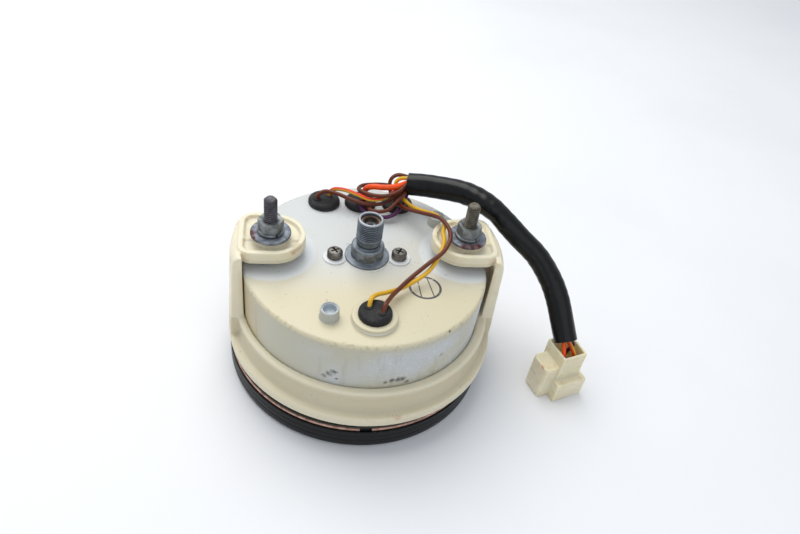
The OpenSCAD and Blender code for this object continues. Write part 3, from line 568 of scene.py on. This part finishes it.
def cut(obj, cutter):
    """Takes the cutter's shape out of the piece and removes the cutter."""
    difference = obj.modifiers.new("cut", "BOOLEAN")
    difference.object = cutter
    difference.solver = "EXACT"
    mesh = evaluated(obj)
    obj.modifiers.clear()
    obj.data = mesh
    bpy.data.objects.remove(cutter)
    obj.data.shade_smooth()
    obj.data.set_sharp_from_angle(angle=math.radians(30))


def loose(name, verts, faces):
    """A helper mesh that isn't shown."""
    mesh = bpy.data.meshes.new(name)
    mesh.from_pydata([Vector(v) * MM for v in verts], [], faces)
    obj = bpy.data.objects.new(name, mesh)
    bpy.context.scene.collection.objects.link(obj)
    return obj


# ---- Cords ----

def smooth_line(route, per=6):
    """A smooth line through the route's points."""
    pts = [Vector(p) for p in route]
    ends = [2 * pts[0] - pts[1]] + pts + [2 * pts[-1] - pts[-2]]
    line = []
    for i in range(1, len(ends) - 2):
        a, b, c, d = ends[i - 1:i + 3]
        for k in range(per):
            t = k / per
            line.append(0.5 * (2 * b + (c - a) * t + (2 * a - 5 * b + 4 * c - d) * t * t
                               + (3 * b - a - 3 * c + d) * t ** 3))
    return line + [pts[-1]]


def length_of(line):
    return sum((b - a).length for a, b in zip(line, line[1:]))


def frames(line):
    """Tangent and two cross directions at each point, carried along without twist."""
    out, side = [], None
    for i in range(len(line)):
        t = (line[min(i + 1, len(line) - 1)] - line[max(i - 1, 0)]).normalized()
        if side is None:
            side = t.orthogonal()
        side = (side - side.dot(t) * t).normalized()
        out.append((t, side, t.cross(side)))
    return out


def curve_piece(name, line, radius, look, node=None, slot=None):
    data = bpy.data.curves.new(name, "CURVE")
    data.dimensions = "3D"
    data.bevel_depth = radius * MM
    data.bevel_resolution = 4
    data.use_fill_caps = True
    spline = data.splines.new("POLY")
    spline.points.add(len(line) - 1)
    for point, at in zip(spline.points, line):
        point.co = (*(at * MM), 1)
    spline.use_smooth = True
    data.materials.append(look)
    obj = bpy.data.objects.new(name, data)
    bpy.context.scene.collection.objects.link(obj)
    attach(obj, "case")
    if node:
        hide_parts(node)
    return obj


def stripe(name, line, radius, look, side, turns=0.0):
    """A raised colour stripe along a wire, on the side given, that may wind slowly."""
    verts, faces, width = [], [], 1.3
    for i, (p, (t, _, _)) in enumerate(zip(line, frames(line))):
        u = (Vector(side) - Vector(side).dot(t) * t).normalized()
        w = t.cross(u)
        a = TAU * turns * i / len(line)
        for da in (-0.5, -0.25, 0, 0.25, 0.5):
            verts.append(p + 1.035 * radius * (math.cos(a + da * width) * u + math.sin(a + da * width) * w))
        for da in (0.5, -0.5):
            verts.append(p + 0.75 * radius * (math.cos(a + da * width) * u + math.sin(a + da * width) * w))
    for i in range(len(line) - 1):
        for k in range(7):
            j = (k + 1) % 7
            faces.append((7 * i + k, 7 * i + j, 7 * i + 7 + j, 7 * i + 7 + k))
    faces += [tuple(reversed(range(7))), tuple(7 * (len(line) - 1) + k for k in range(7))]
    return piece(name, verts, faces, look, sharp=0)


SLEEVE_ROUTE = [(23.7, 42.5, 73), (36.6, 37.7, 75), (50.3, 30.4, 77), (60, 22.2, 76), (68.2, 14, 72),
                (75.6, 8, 67), (84.2, 1.6, 61), (91.2, -5.2, 52.5), (95.2, -12, 45), (97.4, -19, 38),
                (99.5, -26.2, 30.2)]
WIRES = {
    "wire_brown_left": (BROWN, 1.0, "wire_brown", [
        (-22, 41, 63.4), (-21.6, 41.2, 65.6), (-18, 41.6, 67.4), (-12, 39.2, 67.6), (-5, 35.6, 66.8),
        (2, 33.2, 66.4), (9, 32.8, 66.9), (14, 35, 68.2), (19, 38.6, 69.8), (23.8, 42, 71.1), (25.6, 41.4, 71.4)]),
    "wire_striped_left": (RED, 1.0, "wire_striped", [
        (-16, 44, 63.4), (-15.6, 44, 65.6), (-13, 43, 68), (-8, 40.4, 69.2), (-2.5, 37, 69.2),
        (3, 33.9, 68.9), (8, 33.1, 69.4), (13, 35.4, 70.3), (18.5, 40.2, 71.4), (24.7, 44.7, 72.1),
        (26.5, 44.1, 72.4)]),
    "wire_brown_centre": (BROWN, 1.0, "wire_brown", [
        (3, 39.5, 63.4), (3.1, 38.7, 65.2), (3, 35, 64.8), (4, 31, 64.4), (8.3, 28.6, 65.2), (12.5, 28.2, 66.9),
        (16, 31, 68.8), (20, 35.3, 70.3), (23, 39.9, 71.5), (24.8, 39.2, 71.8)]),
    "wire_orange_centre": (ORANGE, 1.5, "wire_orange", [
        (1.5, 41.5, 63.4), (1.4, 41.6, 67), (2.2, 40.6, 70.6), (5, 38.6, 73.2), (10, 37, 74), (16.5, 37.8, 74.1),
        (23.5, 42.3, 73.7), (25.3, 41.6, 74)]),
    "wire_purple_centre": (PURPLE, 1.0, "wire_purple", [
        (-1, 38.2, 63.4), (-1.2, 36.8, 64.6), (0.2, 33.6, 62.8), (4.5, 29.8, 61.9), (10.5, 27, 62.9),
        (15, 27.6, 64), (18.6, 31.4, 64.9), (21.8, 37, 65.9), (24.7, 43.7, 69.8), (26.5, 43, 70.1)]),
    "wire_brown_right": (BROWN, 1.0, "wire_brown", [
        (21, 44.5, 63.4), (20.6, 45.4, 66), (16, 48.2, 67.6), (10.5, 48.3, 68.2), (5.5, 47, 68.8),
        (0.6, 44.6, 69.6), (-1.7, 40.6, 70.1), (1.2, 36.4, 70.8), (6.3, 33.1, 71.6), (12, 32.6, 72.2),
        (18, 35.4, 73.3), (22.5, 39.9, 74.5), (24.3, 39.2, 74.8)]),
    "wire_brown_lower": (BROWN, 1.0, "wire_brown", [
        (26, 44.3, 75.8), (24.2, 44.9, 75.5), (18.8, 46.6, 75.6), (15.2, 45.6, 73.8), (14.4, 43.4, 70.2),
        (15.8, 39, 66.9), (18.1, 33, 66.9), (22.6, 25.4, 69.3), (29, 18.2, 72.4), (34.6, 10.8, 75.4),
        (37, 2, 76.2), (36.2, -6, 76), (32.2, -12.4, 74), (26, -15.6, 70.2), (17.6, -20.6, 65.6),
        (9, -30.6, 65.4), (6, -35.8, 66.8), (3.9, -40, 67.6), (2.7, -42.4, 65.2)]),
    "wire_yellow_lower": (YELLOW, 1.0, "wire_yellow", [
        (25.1, 42.1, 76.6), (23.3, 42.7, 76.3), (19.2, 43.6, 75.2), (17.2, 43, 72.6), (18.2, 40.9, 69),
        (20.6, 37, 67.9), (24.2, 30.4, 68), (28.6, 23.8, 70), (33.6, 16.6, 73.1), (36.4, 9.4, 73.9),
        (34.7, 2, 73.6), (34.2, -4, 73.4), (31, -12, 71.8), (25.4, -18, 66.8), (14.4, -24.4, 63.6),
        (6.4, -28.8, 64.4), (1.4, -32, 66), (-1.6, -36, 67.4), (-2.7, -38.8, 65.2)]),
}
LEADS = {
    "lead_orange": (ORANGE, [(98, -28.2, 29.3), (98.4, -30.8, 26), (99.1, -31.3, 20), (99.1, -31.3, 15)]),
    "lead_striped": (RED, [(101, -28.6, 29), (103.6, -30.8, 26), (105.2, -29.8, 20), (105.4, -29.4, 15)]),
    "lead_purple": (PURPLE, [(101.6, -26, 31), (104.6, -25.4, 27), (104.2, -23.8, 20), (103.5, -23.2, 15)]),
}
SLEEVE_R = 5.9
DENT_SIDE = Vector((-0.1, -0.85, -0.5)).normalized()


def sleeve():
    """Soft vinyl tube with open ends, a little flattened and creased where it bends."""
    line = smooth_line(SLEEVE_ROUTE, 12)
    made = frames(line)
    sides, verts, rings = 32, [], []

    def ring(p, u, w, radius, creased):
        ids = []
        for k in range(sides):
            a = TAU * k / sides
            r = radius(a) if creased else radius
            ids.append(len(verts))
            verts.append(p + r * (math.cos(a) * u + math.sin(a) * w))
        rings.append(ids)

    inside = SLEEVE_R - 0.75
    deep = 12
    rings.append([len(verts)])
    verts.append(line[deep])
    for i in (deep, 0):
        ring(line[i], made[i][1], made[i][2], inside, False)
    last = len(line) - 1
    for i, (p, (t, u, w)) in enumerate(zip(line, made)):
        s = i / last
        bend = (made[min(i + 3, last)][0] - made[max(i - 3, 0)][0]).length
        ends = min(1, i / 5, (last - i) / 5)

        def radius(a, i=i, bend=bend, ends=ends, s=s, u=u, w=w):
            crease = 0.12 * math.sin(i * 1.3 + 1.2 * math.sin(a * 2)) * min(1, 5 * bend)
            lumps = 0.14 * math.sin(2 * a + 9 * s) + 0.1 * math.sin(3 * a - 17 * s + 1)
            front = max(0, (math.cos(a) * u + math.sin(a) * w).dot(DENT_SIDE))
            dent = 1.5 * front ** 2 * math.exp(-((s - 0.36) / 0.035) ** 2)
            return SLEEVE_R - 0.24 + ends * (crease + lumps) - dent

        ring(p, u, w, radius, True)
    for i in (last, last - 8):
        ring(line[i], made[i][1], made[i][2], inside, False)
    rings.append([len(verts)])
    verts.append(line[last - 8])
    obj = piece("sleeve", verts, skin(rings, sides), sleeve_vinyl(), nodes="harness_sleeve",
                sharp=50)
    return obj, line


sleeve_piece, sleeve_line = sleeve()
for lead_name, (look, route) in LEADS.items():
    mouth = Vector(SLEEVE_ROUTE[-1])
    start = mouth + (Vector(route[0]) - mouth) * 0.4 + Vector((-0.6, 2.4, 2.6))
    lead_line = smooth_line([start] + [Vector(p) for p in route[1:]], 8)
    curve_piece(lead_name, lead_line, 1.0, look,
                                   node="plug_leads" if lead_name == "lead_orange" else None, slot="wire_leads")
    if lead_name == "lead_striped":
        stripe("lead_stripe", lead_line, 1.0, YELLOW, (0.6, -0.6, 0.5))

for wire_name, (look, radius, slot_name, route) in WIRES.items():
    wire_line = smooth_line(route, 6)
    wire = curve_piece(wire_name + "_curve", wire_line, radius, look, node=wire_name, slot=slot_name)
    if wire_name == "wire_striped_left":
        stripe("wire_left_stripe", wire_line, radius, YELLOW, (-0.1, -0.8, 0.1),
                             0.12)
    length_of(wire_line) * MM


# ---- Case ----

case_rows = rounded([(6.1, CASE_TOP), (57, CASE_TOP, 1.7), (57, 13.8, 0.6), (62.5, 13.8, 0.3),
                     (62.5, 13.1, 0.3), (56, 13.1), (56, 58.8, 2.2), (6.1, 58.8)])
turned_piece("case_shell", case_rows, PAINT, n=160, closed=True, nodes="rear_case")
boss_rows = rounded([(2.2, 59.6), (5.5, 59.6), (5.5, 60.8, 0.4), (2.2, 60.8)])
collar_rows = rounded([(6.4, 59.6), (10.5, 59.6), (10, 60.2, 0.4), (10, LOWER_LAMP_TOP, 0.7),
                       (7.4, LOWER_LAMP_TOP, 0.3), (6.4, 62)])
post_rows = rounded([(3.3, 59.6), (4.9, 59.6), (4.2, 60.3, 0.4), (4.05, POST_TOP, 0.35), (3.3, POST_TOP, 0.3)])
liner_rows = rounded([(0, 61.9), (2.95, 61.9, 0.6), (2.95, 64.7), (3.25, 64.7), (3.25, 61.5), (0, 61.5)])
for side, at in SCREW_AT.items():
    turned_piece(f"screw_boss_{side}", boss_rows, PAINT, 48, at, True)
turned_piece("lower_lamp_collar", collar_rows, PAINT, 72, LOWER_LAMP_AT, True)
for side, at in POST_AT.items():
    turned_piece(f"post_{side}", post_rows, POST_PAINT, 48, at, True)
    turned_piece(f"post_liner_{side}", liner_rows, LINER, 40, at)

# ---- Bezel ----

bezel_rows = [(54.5, 1.6), (54.5, 0.5, 0.3), (55.2, 0, 0.3), (61.2, 0, 1.6), (63.2, 1.2, 1.2), (63.6, 3.4)]
for z in (5.4, 8.4):
    bezel_rows += [(63.6, z - 0.25), (63.35, z), (63.6, z + 0.25)]
bezel_rows += [(63.6, 11.4, 0.4), (60.02, 11.4), (60.02, 1.6)]
turned_piece("bezel_shell", rounded(bezel_rows), bezel_paint(), n=192, closed=True, nodes="bezel_ring")
several("bezel_tab", [block((60.6, -2.2, 11.2), (62.5, 2.2, 13.05), TAB_ANGLE)], bezel_paint())


def clamp_ring():
    """Crimped ring with a gap that the bezel's tab fills, rounded on its outer edge."""
    section = rounded([(60.02, 11.42), (62.7, 11.42, 0.4), (63, 12.2, 0.4), (62.8, 13.08, 0.3), (60.02, 13.08)])
    gap = math.degrees(2.7 / 62)

    def place(r, z, share):
        a = math.radians(TAB_ANGLE + gap + (360 - 2 * gap) * share)
        return r * math.cos(a), r * math.sin(a), z

    verts, faces = swept(section, 180, place)
    return piece("clamp_ring", verts, faces, COPPER, nodes="bezel_clamp_ring")


clamp_ring()

# ---- Bracket and plug ----

softened("mounting_bracket", "bracket", BRACKET, 0.5)
plug = softened("plug_housing", "plug", PLUG, 0.3)


# ---- Studs, nuts and washers ----

def thread_rows(z0, z1, radius, pitch, depth, tip):
    """Rows of a threaded rod that run out at both ends. tip is the bevel at the upper end."""
    count = int((z1 - z0) / pitch * 8)

    def row(z):
        fade = min(1, (z - z0) / pitch, (z1 - z) / (pitch * 0.8) + 0.15)
        top = radius - max(0, tip - (z1 - z))

        def at(a):
            phase = (z / pitch - a / TAU) % 1
            return min(radius - depth * (1 - abs(2 * phase - 1)) * max(fade, 0), top), z
        return at

    return [row(z0 + (z1 - z0) * i / count) for i in range(count + 1)]


flat_washer_rows = rounded([(3.2, 72.42), (9, 72.42, 0.25), (9, 73.88, 0.5), (3.2, 73.88, 0.2)])
for side, look, spin in (("left", STUDS[0], 2), ("right", STUDS[1], 17)):
    x = STUD_X[side]
    rod = turned([(0, 62.6)] + rounded([(5.2, 62.6, 0.2), (5.2, 64.4, 0.2), (3, 64.4)])
                 + [(3, 66), (3, 73)] + thread_rows(73.2, 91.2, 3, 1.0, 0.55, 0.8)
                 + [(2.05, 91.45), (0, 91.5)], 40, (x, 0))
    several(f"stud_{side}", [rod], look, nodes="mounting_studs")
    turned_piece(f"flat_washer_{side}", flat_washer_rows, WASHER, 64, (x, 0), True, nodes="stud_flat_washers")

    def hexagon(z, spin=spin):
        limit = 5.35 + 1.35 * min(z - 75.5, 80.45 - z)

        def at(a):
            flat = 5 / math.cos((a + math.radians(spin)) % (TAU / 6) - TAU / 12)
            return min(flat, limit), z
        return at

    levels = [75.52, 75.7, 75.95, 76.2, 77, 79, 79.75, 80, 80.25, 80.45]
    turned_piece(f"nut_{side}", [(3.05, 75.52)] + [hexagon(z) for z in levels] + [(4.2, 80.45), (3.05, 79.9)],
                 ZINC, 72, (x, 0), True, nodes="stud_nuts", sharp=28)


def split_washer(x):
    """Sprung ring, cut once, its two ends a little apart in height."""
    section = rounded([(3.15, -0.6), (6, -0.6, 0.2), (6, 0.6, 0.2), (3.15, 0.6)], 3)

    def place(r, z, share):
        a = math.radians(-62 + 5 + 350 * share)
        return x + r * math.cos(a), r * math.sin(a), z + 74.7 - 0.18 + 0.36 * share

    return swept(section, 56, place)


several("split_washers", [split_washer(x) for x in STUD_X.values()], ZINC, nodes="stud_lock_washers")

# ---- Cable connector ----

neck = rounded([(4.4, 53), (6, 53, 0.2), (6, 60.4), (10.4, 60.4, 0.2), (10.4, 61.6, 0.3), (7.6, 61.6, 0.2),
                (7.6, 67.2, 0.3), (7.0, 67.8, 0.2), (5.4, 67.8, 0.3), (5.4, 69.3, 0.1), (5.7, 69.5),
                (5.7, 72.2)])
rows = neck + thread_rows(72.3, 82.1, 6, 1.0, 0.7, 0.5) + [(5.2, 82.2), (4.75, 82.1), (4.4, 81.6), (4.4, 60)]
turned_piece("connector", rows, connector_zinc(), n=72, closed=True, nodes="cable_connector",
             sharp=40)
turned_piece("gasket", rounded([(6.1, 60.02), (10.9, 60.02), (10.9, 60.38, 0.1), (6.1, 60.38)]), WHITE, 72,
             closed=True, nodes="connector_gasket")


def movement_screw(side, spin):
    """Cheese-headed screw with a cross cut into it, turned in plan by spin."""
    at = SCREW_AT[side]
    head = rounded([(0, 54), (1.95, 54), (1.95, 60.8), (3.6, 60.8, 0.2), (3.6, 63.7, 0.7), (2.7, 64.5, 0.9),
                    (0, 64.6)])
    obj = turned_piece(f"screw_{side}", head, SCREW, 48, at, nodes="movement_screws")
    for a in (0, 90):
        cut(obj, loose("cross", *block((-2.1, -0.42, 63.0), (2.1, 0.42, 66), spin + a, at)))


movement_screw("left", 28)
movement_screw("right", 62)


# ---- Bulb caps ----

def bulb_cap(name, at, seat, head_r, head_h, wires):
    """Rubber cap with a rolled edge round a slightly dished top, and a small collar where each wire comes out."""
    top = seat + head_h
    rows = rounded([(0, seat + 1), (5.65, seat + 1), (5.65, seat - 4), (6.3, seat - 4), (6.3, seat),
                    (head_r, seat, 0.4), (head_r, seat + head_h * 0.6, 1.2),
                    (head_r - 1.6, seat + head_h * 0.92, 1.0), (head_r - 2.6, seat + head_h * 0.86, 0.6),
                    (0, seat + head_h * 0.9)])
    collar = rounded([(0, seat + head_h * 0.7), (2, seat + head_h * 0.7), (1.8, top, 0.3), (1.15, top + 0.15, 0.2),
                      (0, top + 0.15)])
    parts = [turned(rows, 64, at)] + [turned(collar, 24, wire_at) for wire_at in wires]
    return several(f"bulb_cap_{name}_rubber", parts, RUBBER, nodes=f"bulb_cap_{name}")


for name, x, wires in (("left", UPPER_LAMP_X[0], [(-22, 41), (-16, 44)]),
                       ("centre", UPPER_LAMP_X[1], [(3, 39.5), (1.5, 41.5), (-1, 38.2)]),
                       ("right", UPPER_LAMP_X[2], [(21, 44.5)])):
    bulb_cap(name, (x, UPPER_LAMP_Y), CASE_TOP, 8, 3.4, wires)
bulb_cap("lower", LOWER_LAMP_AT, LOWER_LAMP_TOP, 7.25, 3.2, [(2.7, -42.4), (-2.7, -38.8)])


# ---- Dial, pointer and number drums ----

def text_mesh(words, size):
    """Flat outline of plain figures as triangles in millimetres, centred on its own middle."""
    data = bpy.data.curves.new("figures", "FONT")
    data.body, data.size, data.align_x, data.align_y = words, size, "CENTER", "CENTER"
    data.resolution_u = 3
    obj = bpy.data.objects.new("figures", data)
    bpy.context.scene.collection.objects.link(obj)
    mesh = evaluated(obj)
    bpy.data.objects.remove(obj)
    verts = [(v.co.x, v.co.y) for v in mesh.vertices]
    faces = [tuple(p.vertices) for p in mesh.polygons]
    xs, ys = [v[0] for v in verts], [v[1] for v in verts]
    mx, my = (min(xs) + max(xs)) / 2, (min(ys) + max(ys)) / 2
    return [(x - mx, y - my) for x, y in verts], faces


def thicken(flat, faces, place):
    """A closed thin body from a flat outline: place maps (x, y, layer), the layer 0 or 1, to a point."""
    n = len(flat)
    verts = [place(x, y, 0) for x, y in flat] + [place(x, y, 1) for x, y in flat]
    out = [tuple(f) for f in faces] + [tuple(n + i for i in reversed(f)) for f in faces]
    count = {}
    for f in faces:
        for a, b in zip(f, f[1:] + f[:1]):
            count[(a, b)] = count.get((a, b), 0) + 1
    for a, b in count:
        if (b, a) not in count:
            out.append((b, a, n + a, n + b))
    return verts, out


ZERO_ANGLE, SWEEP, TOP_SPEED = 135, 270, 140
MARK_END, FIGURE_R = 50, 39.5


def dial_angle(speed):
    return math.radians(ZERO_ANGLE + SWEEP * speed / TOP_SPEED)


def on_dial(x, y, layer):
    """A point of a printed figure, mirrored because the dial faces down."""
    return x, -y, DIAL_FACE + 0.12 * layer


marks = []
for speed in range(0, TOP_SPEED + 1, 2):
    long_mark = 4.6 if speed % 20 == 0 else (3.6 if speed % 10 == 0 else 1.8)
    wide = 0.55 if speed % 20 == 0 else (0.4 if speed % 10 == 0 else 0.22)
    marks.append(block((MARK_END - long_mark, -wide, DIAL_FACE), (MARK_END, wide, MARK_TOP),
                       math.degrees(dial_angle(speed))))
figures = [(str(speed), 6.4, FIGURE_R * math.cos(dial_angle(speed)), FIGURE_R * math.sin(dial_angle(speed)))
           for speed in range(0, TOP_SPEED + 1, 20)] + [("km/h", 5, 0, -17)]
for words, size, ax, ay in figures:
    flat, faces = text_mesh(words, size)
    marks.append(thicken(flat, faces, lambda x, y, k, ax=ax, ay=ay: on_dial(ax + x, y - ay, k)))
# Frame round the odometer's window
for x in (-9.7, 9.7):
    marks.append(block((x - 0.25, 16.6, DIAL_FACE), (x + 0.25, 23.4, MARK_TOP)))
for y in (16.6, 23.4):
    marks.append(block((-9.95, y - 0.25, DIAL_FACE), (9.95, y + 0.25, MARK_TOP)))
several("dial_marks", marks, WHITE, sharp=0)

jewel_rows = rounded([(0, 17), (3.55, 17), (3.55, 15.3, 0.3), (2.6, 15.05, 0.8), (0, 15)])
jewel_colors = ((40, 150, 70), (40, 90, 190), (220, 120, 30))
for index, (x, color) in enumerate(zip(UPPER_LAMP_X, jewel_colors), 1):
    jewel = plain(f"jewel_{index}", lin(*color), 0.15, mark=0.2, Transmission_Weight=0.5)
    turned_piece(f"indicator_{index}", jewel_rows, jewel, 40, (x, UPPER_LAMP_Y), nodes="indicator_jewels")


DRUM_BODIES = ("drum_tenths", "drum_units", "drum_tens", "drum_hundreds", "drum_thousands")


def wrapped_digits(drum, x, look):
    """Figures 0 to 9 round a number drum, upright to a reader of the dial."""
    parts = []
    for digit in range(10):
        flat, faces = text_mesh(str(digit), 3.4)
        centre = -math.pi / 2 - TAU * digit / 10

        def place(fx, fy, k, centre=centre):
            r, a = 7.68 - 0.12 * k, centre - fy / 7.6
            return x + fx, 20 + r * math.cos(a), 24.8 + r * math.sin(a)
        parts.append(thicken(flat, faces, place))
    return several(f"drum_figures_{drum}", parts, look, body=DRUM_BODIES[drum - 1],
                   sharp=0)


for drum in range(1, 6):
    wrapped_digits(drum, 7.3 - 3.7 * (drum - 1), BLACK if drum == 1 else WHITE)

needle_look = plain("pointer_orange", lin(226, 84, 34), 0.35, mark=0.2, Coat_Weight=0.3)
hub = turned(rounded([(0.8, 10.6), (0.8, 14.4), (1.8, 14.4, 0.2), (1.8, 12.4), (6.5, 12.4, 0.3), (6.5, 10.6, 0.5),
                      (4.5, 10, 0.6), (0, 10)]), 56)
rest_angle = dial_angle(0)
outline = [(-14, -1.6), (-5, -1.4), (0, -1.5), (44, -0.5), (45.5, 0), (44, 0.5), (0, 1.5), (-5, 1.4), (-14, 1.6)]


def needle_point(x, y, z):
    c, s = math.cos(rest_angle), math.sin(rest_angle)
    return x * c - y * s, x * s + y * c, z


n = len(outline)
needle_verts = [needle_point(x, y, 11.55) for x, y in outline] + [needle_point(x, y, 11.0) for x, y in outline]
needle_verts += [needle_point(x * 0.995, y * 0.35, 10.65) for x, y in outline]
needle_faces = [tuple(range(n)), tuple(2 * n + k for k in reversed(range(n)))]
for level in (0, n):
    for k in range(n):
        j = (k + 1) % n
        needle_faces.append((level + k, level + n + k, level + n + j, level + j))
several("needle", [(needle_verts, needle_faces)], needle_look, body="pointer_assembly", nodes="pointer")
several("pointer_hub", [hub], BLACK, body="pointer_assembly")

# ---- Harness sleeve's length and points in metres, worked out and not used ----

length_of(sleeve_line) * MM
[p * MM for p in sleeve_line]

# ---- Floor and light ----

floor_look = Material("floor", lin(238, 238, 240), 0.7)
floor_look.paint(floor_look.fade(floor_look.noise(180, detail=4), 0.4, 0.7), lin(232, 232, 236), amount=0.6)
floor = loose("floor", [(-2500, -2500, -0.02), (2500, -2500, -0.02), (2500, 2500, -0.02), (-2500, 2500, -0.02)],
              [(0, 1, 2, 3)])
floor.data.materials.append(floor_look.grain(3, 0.05).done())


def area_light(name, at, aim, size, power, color=(1, 1, 1)):
    data = bpy.data.lights.new(name, "AREA")
    data.shape, data.size, data.energy, data.color = "DISK", size, power, color
    obj = bpy.data.objects.new(name, data)
    obj.location = at
    obj.rotation_mode = "QUATERNION"
    obj.rotation_quaternion = (Vector(aim) - Vector(at)).to_track_quat("-Z", "Y")
    bpy.context.scene.collection.objects.link(obj)


area_light("key", (-0.25, 0.45, 1.0), (0, 0, 0.04), 1.1, 9.5, (1, 0.985, 0.95))
area_light("fill", (0.15, -0.9, 0.85), (0, 0, 0.04), 1.3, 2.0, (0.96, 0.98, 1))
world = bpy.data.worlds.new("studio")
world.use_nodes = True
world.node_tree.nodes["Background"].inputs["Color"].default_value = (0.88, 0.94, 1, 1)
world.node_tree.nodes["Background"].inputs["Strength"].default_value = 0.62
bpy.context.scene.world = world
bpy.context.scene.view_settings.view_transform = "Standard"
